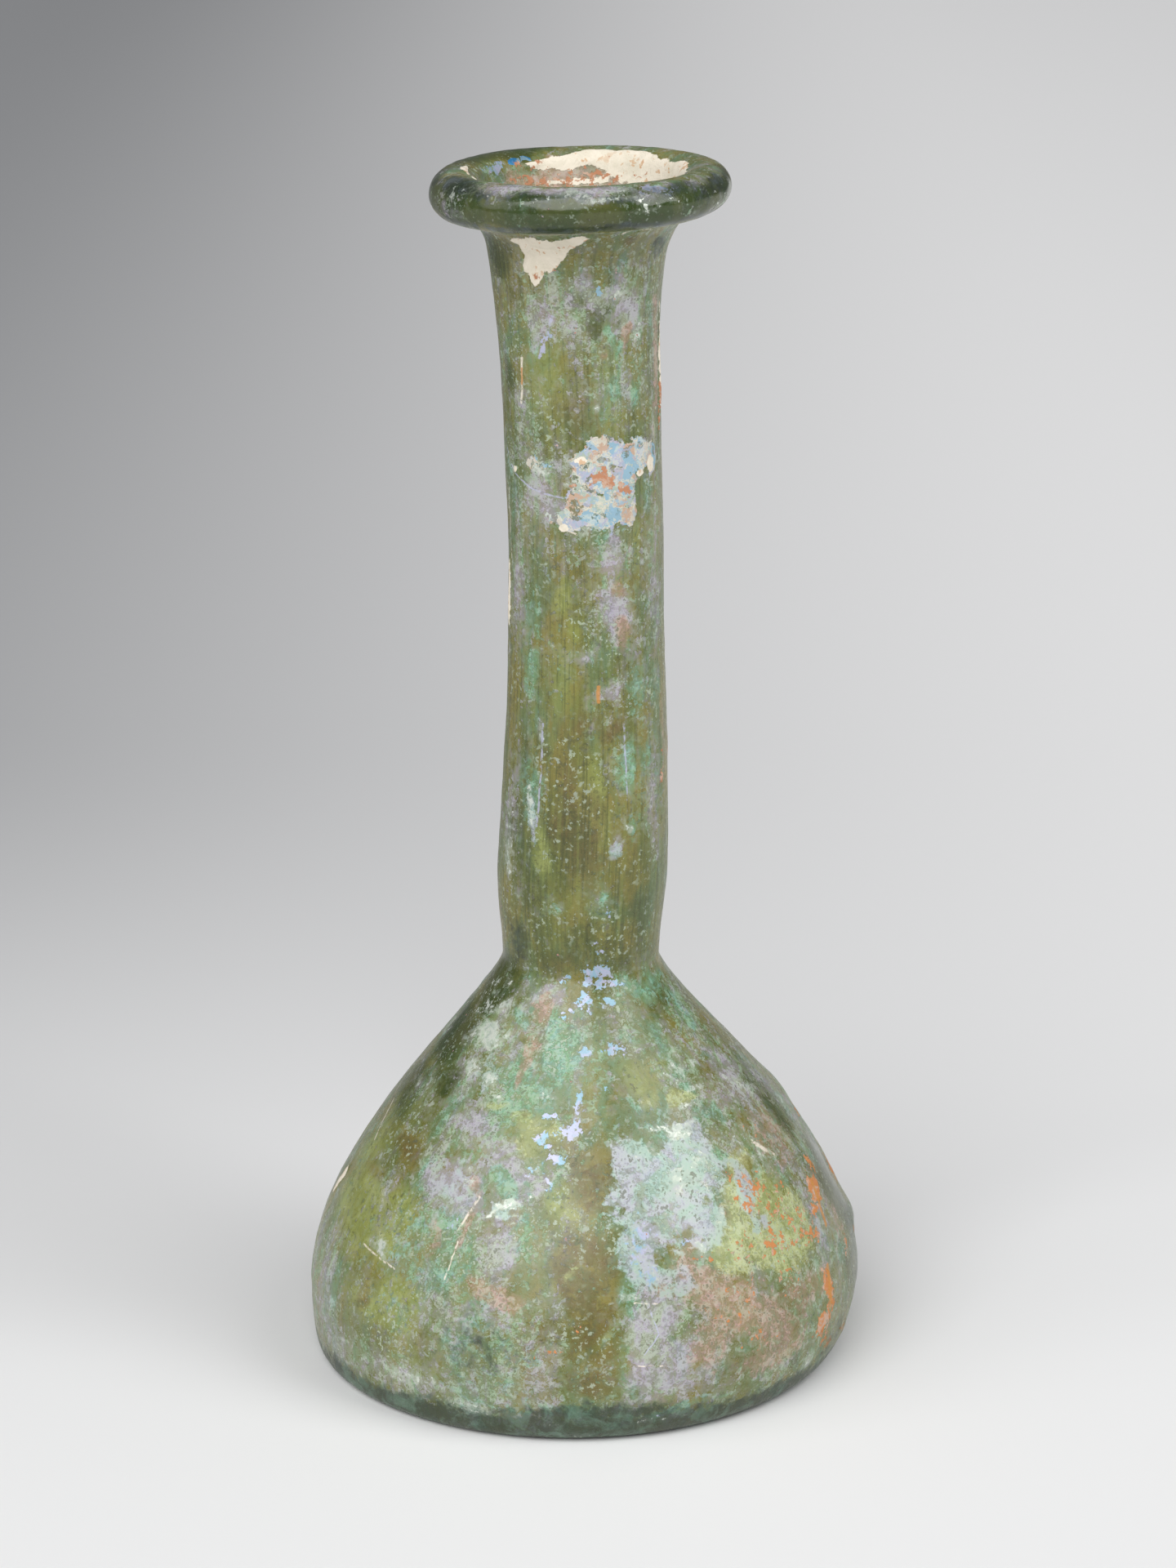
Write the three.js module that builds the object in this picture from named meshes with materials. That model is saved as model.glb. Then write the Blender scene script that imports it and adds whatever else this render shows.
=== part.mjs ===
// A blown-glass unguentarium, a small flask for scented oil: a low bell-shaped body on a broad flat
// base pushed in underneath, a long neck that is nipped in where it leaves the shoulder, and a thick
// lip folded back on itself. It is one hollow piece of glass with a single opening at the mouth.
//
// Millimetres, +Z up. The origin is on the ground under the middle of the body. +X is the flask's
// right as it is usually seen, and -Y is its front.

import * as THREE from 'three';
import { mergeVertices } from 'three/addons/utils/BufferGeometryUtils.js';

// Heights, each measured from the feature under it.
const bellyHeight = 8.5; // ground to the widest part of the body
const shoulderHeight = 39.7; // belly to the waist at the root of the neck
const swellHeight = 10.7; // waist to the fullest part of the neck
const taperLength = 38.7; // fullest to slimmest part of the neck
const upperNeckLength = 32.4; // slimmest part of the neck to where it starts to turn out
const flareHeight = 4.5; // start of the turn to the underside of the lip
const lipHeight = 5.5; // underside to top of the lip

// Radii of the outside.
const seatRadius = 28.5; // outer edge of the flat ring that the flask stands on
const bellyOverhang = 4; // how far the belly stands out past the seat
const waistRadius = 9.23;
const swellRadius = 9.98;
const neckRadius = 8.93; // slimmest part of the neck
const flareRadius = 10.05; // where the neck starts to turn out
const lipRadius = 16.95;
const lipWidth = 6; // across the folded roll, from its outside to the mouth

// Glass thickness, square to the surface.
const bodyWall = 1.9;
const neckWall = 2.1;
const baseThickness = 3.2;

// The push-in under the base.
const seatWidth = 4.4; // width of the flat ring
const kickDepth = 2.4; // rise of the middle above the ground

// Shape of the curves, without a unit.
const bellyFullness = 1.84; // higher keeps the body wide for longer
const collarSoftness = 1.32; // higher runs the shoulder into the neck more gently
const taperSkew = 0.75; // below 1 draws the neck in early
const flareSkew = 4; // how late the upper neck widens
const footSkew = 0.3; // how quickly the foot swings back under the belly
const leanSkew = 1.8; // how late the neck leans
const rollDegrees = 256; // how far the lip rolls round, from its underside over to the mouth

// Shares of the way at which the control points of the turned curves stand.
const footCurve = { out: 0.69, over: 0.86, up: 0.28 };
const flareCurve = { out: 0.1, over: 0.35, up: 0.55 };
const mouthCurve = { in: 0.25, down: 0.35, up: 0.45 };
const cornerCurve = { in: 0.4, down: 0.7, width: 1.4 };

// Sideways drift of the hand-blown outline, along X.
const footDrift = -1.5;
const shoulderDrift = 0.44;
const waistDrift = -0.33;
const neckDrift = 0.31;
const flareDrift = -0.74;
const lipDrift = -0.38;
const driftTurnShare = 0.4; // share of the shoulder's height at which the drift is greatest
const lipTilt = THREE.MathUtils.degToRad(2); // right side up
const ovalShare = 0.006; // the body is this much wider on one diagonal
const ovalAngle = THREE.MathUtils.degToRad(35);
const lipUnevenness = 0.04; // the roll is this much thicker on one side
const lipThickAngle = THREE.MathUtils.degToRad(160);

// Lumps and a dent on the right of the body, left by the blowing and by a lost flake.
// angle and across go round the axis, height and along go up the wall, and rise is outwards.
const lumps = [
  { angle: 16, height: 29.8, across: 13, along: 1.9, rise: 0.42 },
  { angle: 1, height: 15.6, across: 8, along: 1.5, rise: 0.5 },
  { angle: 4, height: 22.4, across: 10, along: 5.2, rise: -0.38 },
];

// Faces round the axis, and steps along each stretch of the profile.
const around = 56;
const steps = {
  kick: 3, foot: 5, shoulder: 15, swell: 3, taper: 4, upperNeck: 4, flare: 4, lip: 12,
  mouth: 4, neckInside: 7, bodyInside: 10, corner: 3, floor: 3,
};

const bellyRadius = seatRadius + bellyOverhang;
const waistZ = bellyHeight + shoulderHeight;
const swellZ = waistZ + swellHeight;
const slimZ = swellZ + taperLength;
const flareZ = slimZ + upperNeckLength;
const lipUndersideZ = flareZ + flareHeight;
const lipCentre = new THREE.Vector2(lipRadius - lipWidth / 2, lipUndersideZ + lipHeight / 2);
const kickRadius = seatRadius - seatWidth;

function smooth(t) {
  const held = THREE.MathUtils.clamp(t, 0, 1);
  return held * held * (3 - 2 * held);
}

function ease(from, to, t, skew = 1) {
  return from + (to - from) * smooth(Math.pow(THREE.MathUtils.clamp(t, 0, 1), skew));
}

// Radius of the outside at a height between the belly and the turn of the flare.
function outerRadius(z) {
  if (z <= waistZ) {
    const h = THREE.MathUtils.clamp((z - bellyHeight) / shoulderHeight, 0, 1);
    const fall = Math.pow(1 - Math.pow(h, bellyFullness), collarSoftness);
    return waistRadius + (bellyRadius - waistRadius) * fall;
  }
  if (z <= swellZ) {
    return ease(waistRadius, swellRadius, (z - waistZ) / swellHeight);
  }
  if (z <= slimZ) {
    return ease(swellRadius, neckRadius, (z - swellZ) / taperLength, taperSkew);
  }
  const t = Math.min((z - slimZ) / upperNeckLength, 1);
  return neckRadius + (flareRadius - neckRadius) * Math.pow(t, flareSkew);
}

// Radius of the inside at the same heights. The wall runs from bodyWall to neckWall at the waist,
// and is widened on a slope so that it keeps its thickness square to the surface.
function innerRadius(z) {
  const slopeStep = 0.05;
  const slope = (outerRadius(z + slopeStep) - outerRadius(z - slopeStep)) / (2 * slopeStep);
  const wall = ease(bodyWall, neckWall, (z - bellyHeight) / shoulderHeight);
  return outerRadius(z) - wall * Math.hypot(1, slope);
}

// Rise of the push-in under the base at a distance from the axis.
function kickRise(r) {
  const share = Math.min(r / kickRadius, 1);
  return kickDepth * (1 - share * share) ** 2;
}

// count points up a wall, from just past one height to the next.
function rings(radiusAt, fromZ, toZ, count) {
  return Array.from({ length: count }, (_, i) => {
    const z = THREE.MathUtils.lerp(fromZ, toZ, (i + 1) / count);
    return new THREE.Vector2(radiusAt(z), z);
  });
}

function bezier(count, ...controls) {
  const curve = new THREE.CubicBezierCurve(...controls.map(([r, z]) => new THREE.Vector2(r, z)));
  return curve.getPoints(count).slice(1);
}

// From the middle of the underside out to the edge of the seat.
function underside() {
  const points = Array.from({ length: steps.kick }, (_, i) => {
    const r = kickRadius * (i / steps.kick);
    return new THREE.Vector2(r, kickRise(r));
  });
  return [...points, new THREE.Vector2(kickRadius, 0), new THREE.Vector2(seatRadius, 0)];
}

// From the seat round the foot, up the body and the neck to the start of the flare.
function outsideWall() {
  return [
    ...bezier(
      steps.foot,
      [seatRadius, 0],
      [seatRadius + footCurve.out * bellyOverhang, 0],
      [seatRadius + footCurve.over * bellyOverhang, footCurve.up * bellyHeight],
      [bellyRadius, bellyHeight],
    ),
    ...rings(outerRadius, bellyHeight, waistZ, steps.shoulder),
    ...rings(outerRadius, waistZ, swellZ, steps.swell),
    ...rings(outerRadius, swellZ, slimZ, steps.taper),
    ...rings(outerRadius, slimZ, flareZ, steps.upperNeck),
  ];
}

// The neck turns out under the lip, and the lip rolls over and back in to the mouth.
function lip() {
  const turn = lipCentre.x - flareRadius;
  const flare = bezier(
    steps.flare,
    [flareRadius, flareZ],
    [flareRadius + flareCurve.out * turn, flareZ + flareCurve.up * flareHeight],
    [flareRadius + flareCurve.over * turn, lipUndersideZ],
    [lipCentre.x, lipUndersideZ],
  );
  const rollStart = -Math.PI / 2;
  const rollTurn = THREE.MathUtils.degToRad(rollDegrees);
  const roll = Array.from({ length: steps.lip }, (_, i) => {
    const angle = rollStart + (rollTurn * (i + 1)) / steps.lip;
    return new THREE.Vector2(
      lipCentre.x + (lipWidth / 2) * Math.cos(angle),
      lipCentre.y + (lipHeight / 2) * Math.sin(angle),
    );
  });
  return [...flare, ...roll];
}

// From the mouth down the inside to the middle of the floor.
function inside(mouthEdge) {
  const throat = innerRadius(flareZ);
  const mouthDrop = mouthEdge.y - flareZ;
  const cornerTop = new THREE.Vector2(innerRadius(bellyHeight), bellyHeight);
  const floorRadius = cornerTop.x - cornerCurve.width * (bellyHeight - baseThickness);
  const floor = Array.from({ length: steps.floor }, (_, i) => {
    const r = floorRadius * (1 - (i + 1) / steps.floor);
    return new THREE.Vector2(r, baseThickness + kickRise(r));
  });
  return [
    ...bezier(
      steps.mouth,
      [mouthEdge.x, mouthEdge.y],
      [THREE.MathUtils.lerp(mouthEdge.x, throat, mouthCurve.in), mouthEdge.y - mouthCurve.down * mouthDrop],
      [throat, flareZ + mouthCurve.up * mouthDrop],
      [throat, flareZ],
    ),
    ...rings(innerRadius, flareZ, waistZ, steps.neckInside),
    ...rings(innerRadius, waistZ, bellyHeight, steps.bodyInside),
    ...bezier(
      steps.corner,
      [cornerTop.x, cornerTop.y],
      [cornerTop.x, THREE.MathUtils.lerp(cornerTop.y, baseThickness, cornerCurve.down)],
      [THREE.MathUtils.lerp(cornerTop.x, floorRadius, cornerCurve.in), baseThickness],
      [floorRadius, baseThickness + kickRise(floorRadius)],
    ),
    ...floor,
  ];
}

// How far the outline has drifted along X at a height.
function driftAt(z) {
  const turnZ = bellyHeight + driftTurnShare * shoulderHeight;
  const leanZ = swellZ + taperLength / 2;
  if (z <= turnZ) return ease(footDrift, shoulderDrift, z / turnZ, footSkew);
  if (z <= waistZ) return ease(shoulderDrift, waistDrift, (z - turnZ) / (waistZ - turnZ));
  if (z <= leanZ) return ease(waistDrift, neckDrift, (z - waistZ) / (leanZ - waistZ));
  if (z <= flareZ) return ease(neckDrift, flareDrift, (z - leanZ) / (flareZ - leanZ), leanSkew);
  return ease(flareDrift, lipDrift, (z - flareZ) / flareHeight);
}

// How far the lumps push the outside out at an angle and a height.
function lumpRise(angle, z) {
  return lumps.reduce((sum, lump) => {
    const turn = THREE.MathUtils.radToDeg(angle) - lump.angle;
    const across = (THREE.MathUtils.euclideanModulo(turn + 180, 360) - 180) / lump.across;
    const along = (z - lump.height) / lump.along;
    return sum + lump.rise * Math.exp(-across * across - along * along);
  }, 0);
}

// Moves a point of the turned flask to where the glassworker's hand left it.
function leaveByHand(point) {
  const radius = Math.hypot(point.x, point.y);
  const angle = Math.atan2(point.y, point.x);
  const { z } = point;
  const bodyShare = 1 - smooth((z - bellyHeight) / shoulderHeight);
  const lipShare = smooth((z - flareZ) / flareHeight);
  const outside = z > bellyHeight && z < waistZ && radius > (innerRadius(z) + outerRadius(z)) / 2;
  const oval = 1 + ovalShare * bodyShare * Math.cos(2 * (angle - ovalAngle));
  const roll = 1 + lipUnevenness * lipShare * Math.cos(angle - lipThickAngle);
  const height = lipUndersideZ + (z - lipUndersideZ) * (z > lipUndersideZ ? roll : 1);
  const bump = outside ? lumpRise(angle, z) : 0;
  const placed = radius * oval + bump;
  point.set(
    placed * Math.cos(angle) + driftAt(z),
    placed * Math.sin(angle),
    height + lipShare * radius * Math.cos(angle) * Math.tan(lipTilt),
  );
}

// Merges the seam and the poles of a turned surface, and drops the faces that they flatten.
function closeUp(turned) {
  turned.deleteAttribute('normal');
  turned.deleteAttribute('uv');
  const closed = mergeVertices(turned, 1e-4);
  const index = closed.getIndex();
  const kept = [];
  for (let i = 0; i < index.count; i += 3) {
    const [a, b, c] = [index.getX(i), index.getX(i + 1), index.getX(i + 2)];
    if (a !== b && b !== c && c !== a) kept.push(a, b, c);
  }
  closed.setIndex(kept);
  return closed;
}

function vesselGeometry() {
  const rolled = lip();
  const profile = [...underside(), ...outsideWall(), ...rolled, ...inside(rolled.at(-1))];
  profile[0].x = 0;
  profile.at(-1).x = 0;
  const turned = closeUp(new THREE.LatheGeometry(profile, around).rotateX(Math.PI / 2));
  const places = turned.getAttribute('position');
  const point = new THREE.Vector3();
  for (let i = 0; i < places.count; i += 1) {
    leaveByHand(point.fromBufferAttribute(places, i));
    places.setXYZ(i, point.x, point.y, point.z);
  }
  turned.computeVertexNormals();
  return turned;
}

function weatheredGlass() {
  return new THREE.MeshStandardMaterial({ color: 0x71803f, roughness: 0.35, metalness: 0 });
}

const unguentarium = new THREE.Group();
unguentarium.name = 'unguentarium';

const vessel = new THREE.Mesh(vesselGeometry(), weatheredGlass());
vessel.name = 'glass_vessel';
unguentarium.add(vessel);

export default unguentarium;
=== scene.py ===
"""A blown-glass unguentarium with its weathering, on a pale table in soft studio light."""

import math

import bpy
import numpy as np
from mathutils import Matrix, Vector


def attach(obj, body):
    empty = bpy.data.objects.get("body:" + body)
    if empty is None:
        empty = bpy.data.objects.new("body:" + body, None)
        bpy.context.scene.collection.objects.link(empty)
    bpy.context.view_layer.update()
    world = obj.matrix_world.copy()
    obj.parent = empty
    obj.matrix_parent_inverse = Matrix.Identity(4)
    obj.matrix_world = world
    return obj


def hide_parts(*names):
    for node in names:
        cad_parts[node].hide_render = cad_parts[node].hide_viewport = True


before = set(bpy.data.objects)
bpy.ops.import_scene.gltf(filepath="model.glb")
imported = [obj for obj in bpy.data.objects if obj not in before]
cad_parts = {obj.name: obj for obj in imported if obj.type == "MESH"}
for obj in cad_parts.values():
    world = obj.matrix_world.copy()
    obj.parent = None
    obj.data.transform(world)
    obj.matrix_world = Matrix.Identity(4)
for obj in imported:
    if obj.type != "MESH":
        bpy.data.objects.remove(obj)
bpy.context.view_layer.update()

MM = 0.001
FRONT = -90.0  # degrees round the axis, from +X: the side that faces the camera

# Heights in mm, each measured from the feature under it.
BELLY_HEIGHT = 8.5
SHOULDER_HEIGHT = 39.7
SWELL_HEIGHT = 10.7
TAPER_LENGTH = 38.7
UPPER_NECK_LENGTH = 32.4
FLARE_HEIGHT = 4.5
LIP_HEIGHT = 5.5

# Radii of the outside in mm.
SEAT_RADIUS = 28.5
BELLY_RADIUS = SEAT_RADIUS + 4.0
WAIST_RADIUS = 9.23
SWELL_RADIUS = 9.98
NECK_RADIUS = 8.93
FLARE_RADIUS = 10.05
LIP_RADIUS = 16.95
LIP_WIDTH = 6.0

# Glass in mm, and the push-in under the base.
BODY_WALL = 1.9
NECK_WALL = 2.1
BASE_THICKNESS = 3.2
SEAT_WIDTH = 4.4
KICK_DEPTH = 2.4

# Shape of the curves, without a unit.
BELLY_FULLNESS = 1.84
COLLAR_SOFTNESS = 1.32
TAPER_SKEW = 0.75
FLARE_SKEW = 4.0
FOOT_SKEW = 0.3
LEAN_SKEW = 1.8
ROLL_DEGREES = 256.0
FOOT_CURVE = (0.69, 0.86, 0.28)
FLARE_CURVE = (0.1, 0.35, 0.55)
MOUTH_CURVE = (0.25, 0.35, 0.45)
CORNER_CURVE = (0.4, 0.7, 1.4)

# Sideways drift along X in mm, and the other marks of the glassworker's hand.
FOOT_DRIFT = -1.5
SHOULDER_DRIFT = 0.44
WAIST_DRIFT = -0.33
NECK_DRIFT = 0.31
FLARE_DRIFT = -0.74
LIP_DRIFT = -0.38
DRIFT_TURN_SHARE = 0.4
LIP_TILT = math.radians(2)
OVAL_SHARE = 0.006
OVAL_ANGLE = math.radians(35)
LIP_UNEVENNESS = 0.04
LIP_THICK_ANGLE = math.radians(160)

# Lumps and a dent on the right: degrees, height, degrees across, mm along and mm of rise.
LUMPS = (
    (16, 29.8, 13, 1.9, 0.42),
    (1, 15.6, 8, 1.5, 0.5),
    (4, 22.4, 10, 5.2, -0.38),
)

WAIST_Z = BELLY_HEIGHT + SHOULDER_HEIGHT
SWELL_Z = WAIST_Z + SWELL_HEIGHT
SLIM_Z = SWELL_Z + TAPER_LENGTH
FLARE_Z = SLIM_Z + UPPER_NECK_LENGTH
LIP_UNDERSIDE_Z = FLARE_Z + FLARE_HEIGHT
TOP_Z = LIP_UNDERSIDE_Z + LIP_HEIGHT
LIP_CENTRE = (LIP_RADIUS - LIP_WIDTH / 2, LIP_UNDERSIDE_Z + LIP_HEIGHT / 2)
KICK_RADIUS = SEAT_RADIUS - SEAT_WIDTH

# The skin's mesh: steps round the axis, and rings along each stretch of the section.
COLUMNS = 300
KICK_RINGS = 11
SEAT_RINGS = 3
UNDERSIDE_RINGS = KICK_RINGS + SEAT_RINGS
FOOT_RINGS = 14
BODY_RINGS = 72
NECK_RINGS = 84
FLARE_RINGS = 10
ROLL_RINGS = 34
MOUTH_RINGS = 10
NECK_INSIDE_RINGS = 18
BODY_INSIDE_RINGS = 22
CORNER_RINGS = 7
FLOOR_RINGS = 6

# The skin's relief in mm. The setback keeps waves and crusts within the flask's own reach.
SKIN_SETBACK = 0.16
WAVE_RISE = 0.05
PIT_RISE = 0.018
CREAM_RISE = 0.16
CLAY_RISE = 0.1
SILVER_RISE = 0.07
PLATE_RISE = 0.14
BARE_EDGE_TOP = 0.6  # the relief starts above this height and is whole a few mm further up
BARE_EDGE_WIDTH = 2.5

MOUTH_DEPTH = 14.0  # mm of arc inside the lip that carry the mouth's own crusts
GRAIN_RADIUS = 20.0  # mm, of the cylinder that the grain of the drawn glass is wrapped on

# How far waves bend the outlines of patches, and the shares of that for the two kinds of edge.
BEND_DEGREES = 3.0
BEND_MM = 0.9
SOFT_BEND = 1.0
TORN_BEND = 0.35

# The patches on the back: how far they are shifted from the front's, in degrees and mm, and how weak
# they can be.
BACK_SHIFT = 28.0
BACK_LIFT = 4.0
BACK_WEAKEST = 0.75
LOWEST_PATCH = 1.0


def smooth(t):
    """3t^2 - 2t^3 of a value held between 0 and 1."""
    held = np.clip(t, 0, 1)
    return held * held * (3 - 2 * held)


def ease(start, end, t, skew=1.0):
    """From start to end as t goes from 0 to 1, along the smooth curve of t to the power skew."""
    return start + (end - start) * smooth(np.clip(t, 0, 1) ** skew)


def outer_radius(z):
    """Outside radius: a bell up to the waist, a swell, a slow taper and a late flare."""
    h = np.clip((z - BELLY_HEIGHT) / SHOULDER_HEIGHT, 0, 1)
    bell = WAIST_RADIUS + (BELLY_RADIUS - WAIST_RADIUS) * (1 - h**BELLY_FULLNESS) ** COLLAR_SOFTNESS
    swell = ease(WAIST_RADIUS, SWELL_RADIUS, (z - WAIST_Z) / SWELL_HEIGHT)
    taper = ease(SWELL_RADIUS, NECK_RADIUS, (z - SWELL_Z) / TAPER_LENGTH, TAPER_SKEW)
    rise = np.clip((z - SLIM_Z) / UPPER_NECK_LENGTH, 0, 1)
    upper = NECK_RADIUS + (FLARE_RADIUS - NECK_RADIUS) * rise**FLARE_SKEW
    return np.select([z <= WAIST_Z, z <= SWELL_Z, z <= SLIM_Z], [bell, swell, taper], upper)


def inner_radius(z):
    """Outside radius less the wall, which is widened on a slope to keep its thickness."""
    step = 0.05
    slope = (outer_radius(z + step) - outer_radius(z - step)) / (2 * step)
    wall = ease(BODY_WALL, NECK_WALL, (z - BELLY_HEIGHT) / SHOULDER_HEIGHT)
    return outer_radius(z) - wall * np.hypot(1, slope)


def kick_rise(r):
    """Rise of the push-in: its depth times (1 - share^2)^2 of the way out to the seat."""
    share = np.minimum(r / KICK_RADIUS, 1)
    return KICK_DEPTH * (1 - share**2) ** 2


def bezier(count, *controls):
    """count points of a cubic curve, without its first."""
    t = np.linspace(0, 1, count + 1)[1:, None]
    a, b, c, d = (np.array(p, float) for p in controls)
    return (1 - t) ** 3 * a + 3 * (1 - t) ** 2 * t * b + 3 * (1 - t) * t**2 * c + t**3 * d


def wall_points(radius_at, start, end, count):
    """count points of a wall, without its first."""
    z = np.linspace(start, end, count + 1)[1:]
    return np.column_stack([radius_at(z), z])


def mix(a, b, t):
    return a + (b - a) * t


def profile():
    """The section from the middle of the underside round the outside, lip and inside to the floor."""
    kick = np.linspace(0, KICK_RADIUS, KICK_RINGS + 1)[1:]
    underside = np.column_stack([kick, kick_rise(kick)])
    flat = np.linspace(KICK_RADIUS, SEAT_RADIUS, SEAT_RINGS + 1)[1:]
    seat = np.column_stack([flat, np.zeros(SEAT_RINGS)])
    overhang = BELLY_RADIUS - SEAT_RADIUS
    out, over, up = FOOT_CURVE
    foot = bezier(
        FOOT_RINGS,
        (SEAT_RADIUS, 0),
        (SEAT_RADIUS + out * overhang, 0),
        (SEAT_RADIUS + over * overhang, up * BELLY_HEIGHT),
        (BELLY_RADIUS, BELLY_HEIGHT),
    )
    body = wall_points(outer_radius, BELLY_HEIGHT, WAIST_Z, BODY_RINGS)
    neck = wall_points(outer_radius, WAIST_Z, FLARE_Z, NECK_RINGS)
    turn = LIP_CENTRE[0] - FLARE_RADIUS
    out, over, up = FLARE_CURVE
    flare = bezier(
        FLARE_RINGS,
        (FLARE_RADIUS, FLARE_Z),
        (FLARE_RADIUS + out * turn, FLARE_Z + up * FLARE_HEIGHT),
        (FLARE_RADIUS + over * turn, LIP_UNDERSIDE_Z),
        (LIP_CENTRE[0], LIP_UNDERSIDE_Z),
    )
    rolled = math.radians(-90) + math.radians(ROLL_DEGREES) * np.linspace(0, 1, ROLL_RINGS + 1)[1:]
    roll = np.column_stack([
        LIP_CENTRE[0] + LIP_WIDTH / 2 * np.cos(rolled),
        LIP_CENTRE[1] + LIP_HEIGHT / 2 * np.sin(rolled),
    ])
    edge = roll[-1]
    throat = float(inner_radius(np.array(FLARE_Z)))
    drop = edge[1] - FLARE_Z
    inward, down, up = MOUTH_CURVE
    mouth = bezier(
        MOUTH_RINGS,
        edge,
        (mix(edge[0], throat, inward), edge[1] - down * drop),
        (throat, FLARE_Z + up * drop),
        (throat, FLARE_Z),
    )
    neck_inside = wall_points(inner_radius, FLARE_Z, WAIST_Z, NECK_INSIDE_RINGS)
    body_inside = wall_points(inner_radius, WAIST_Z, BELLY_HEIGHT, BODY_INSIDE_RINGS)
    corner_top = body_inside[-1]
    inward, down, width = CORNER_CURVE
    floor_radius = corner_top[0] - width * (BELLY_HEIGHT - BASE_THICKNESS)
    corner = bezier(
        CORNER_RINGS,
        corner_top,
        (corner_top[0], mix(corner_top[1], BASE_THICKNESS, down)),
        (mix(corner_top[0], floor_radius, inward), BASE_THICKNESS),
        (floor_radius, BASE_THICKNESS + float(kick_rise(floor_radius))),
    )
    across = np.linspace(floor_radius, 0, FLOOR_RINGS + 2)[1:-1]
    floor = np.column_stack([across, BASE_THICKNESS + kick_rise(across)])
    outside = np.vstack([underside, seat, foot, body, neck, flare, roll])
    hollow = np.vstack([mouth, neck_inside, body_inside, corner, floor])
    return outside, hollow


def drift_at(z):
    """How far the outline has drifted along X: eased between the named drifts."""
    turn_z = BELLY_HEIGHT + DRIFT_TURN_SHARE * SHOULDER_HEIGHT
    lean_z = SWELL_Z + TAPER_LENGTH / 2
    return np.select(
        [z <= turn_z, z <= WAIST_Z, z <= lean_z, z <= FLARE_Z],
        [
            ease(FOOT_DRIFT, SHOULDER_DRIFT, z / turn_z, FOOT_SKEW),
            ease(SHOULDER_DRIFT, WAIST_DRIFT, (z - turn_z) / (WAIST_Z - turn_z)),
            ease(WAIST_DRIFT, NECK_DRIFT, (z - WAIST_Z) / (lean_z - WAIST_Z)),
            ease(NECK_DRIFT, FLARE_DRIFT, (z - lean_z) / (FLARE_Z - lean_z), LEAN_SKEW),
        ],
        ease(FLARE_DRIFT, LIP_DRIFT, (z - FLARE_Z) / FLARE_HEIGHT),
    )


def turn_between(a, b):
    """Degrees from b to a, between -180 and 180."""
    return (a - b + 180) % 360 - 180


def lump_rise(degrees, z):
    """Sum of bell-shaped lumps, each rise * exp(-across^2 - along^2)."""
    total = np.zeros(np.broadcast(degrees, z).shape)
    for angle, height, across, along, rise in LUMPS:
        sideways = turn_between(degrees, angle) / across
        total += rise * np.exp(-(sideways**2) - ((z - height) / along) ** 2)
    return total


def waves(degrees, reach, seed, size, count=26):
    """A smooth random field that closes round the axis: a sum of cosines in angle and reach.

    size is the length of its features in mm, and its values run mostly between -1 and 1.
    """
    rng = np.random.default_rng(seed)
    total = np.zeros(np.broadcast(degrees, reach).shape)
    for _ in range(count):
        round_it = rng.integers(-int(120 / size), int(120 / size) + 1)
        up_it = rng.uniform(-1, 1) * 2 * math.pi / size
        phase = rng.uniform(0, 2 * math.pi)
        total += np.cos(np.radians(degrees) * round_it + up_it * reach + phase)
    return total / math.sqrt(count)


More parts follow.
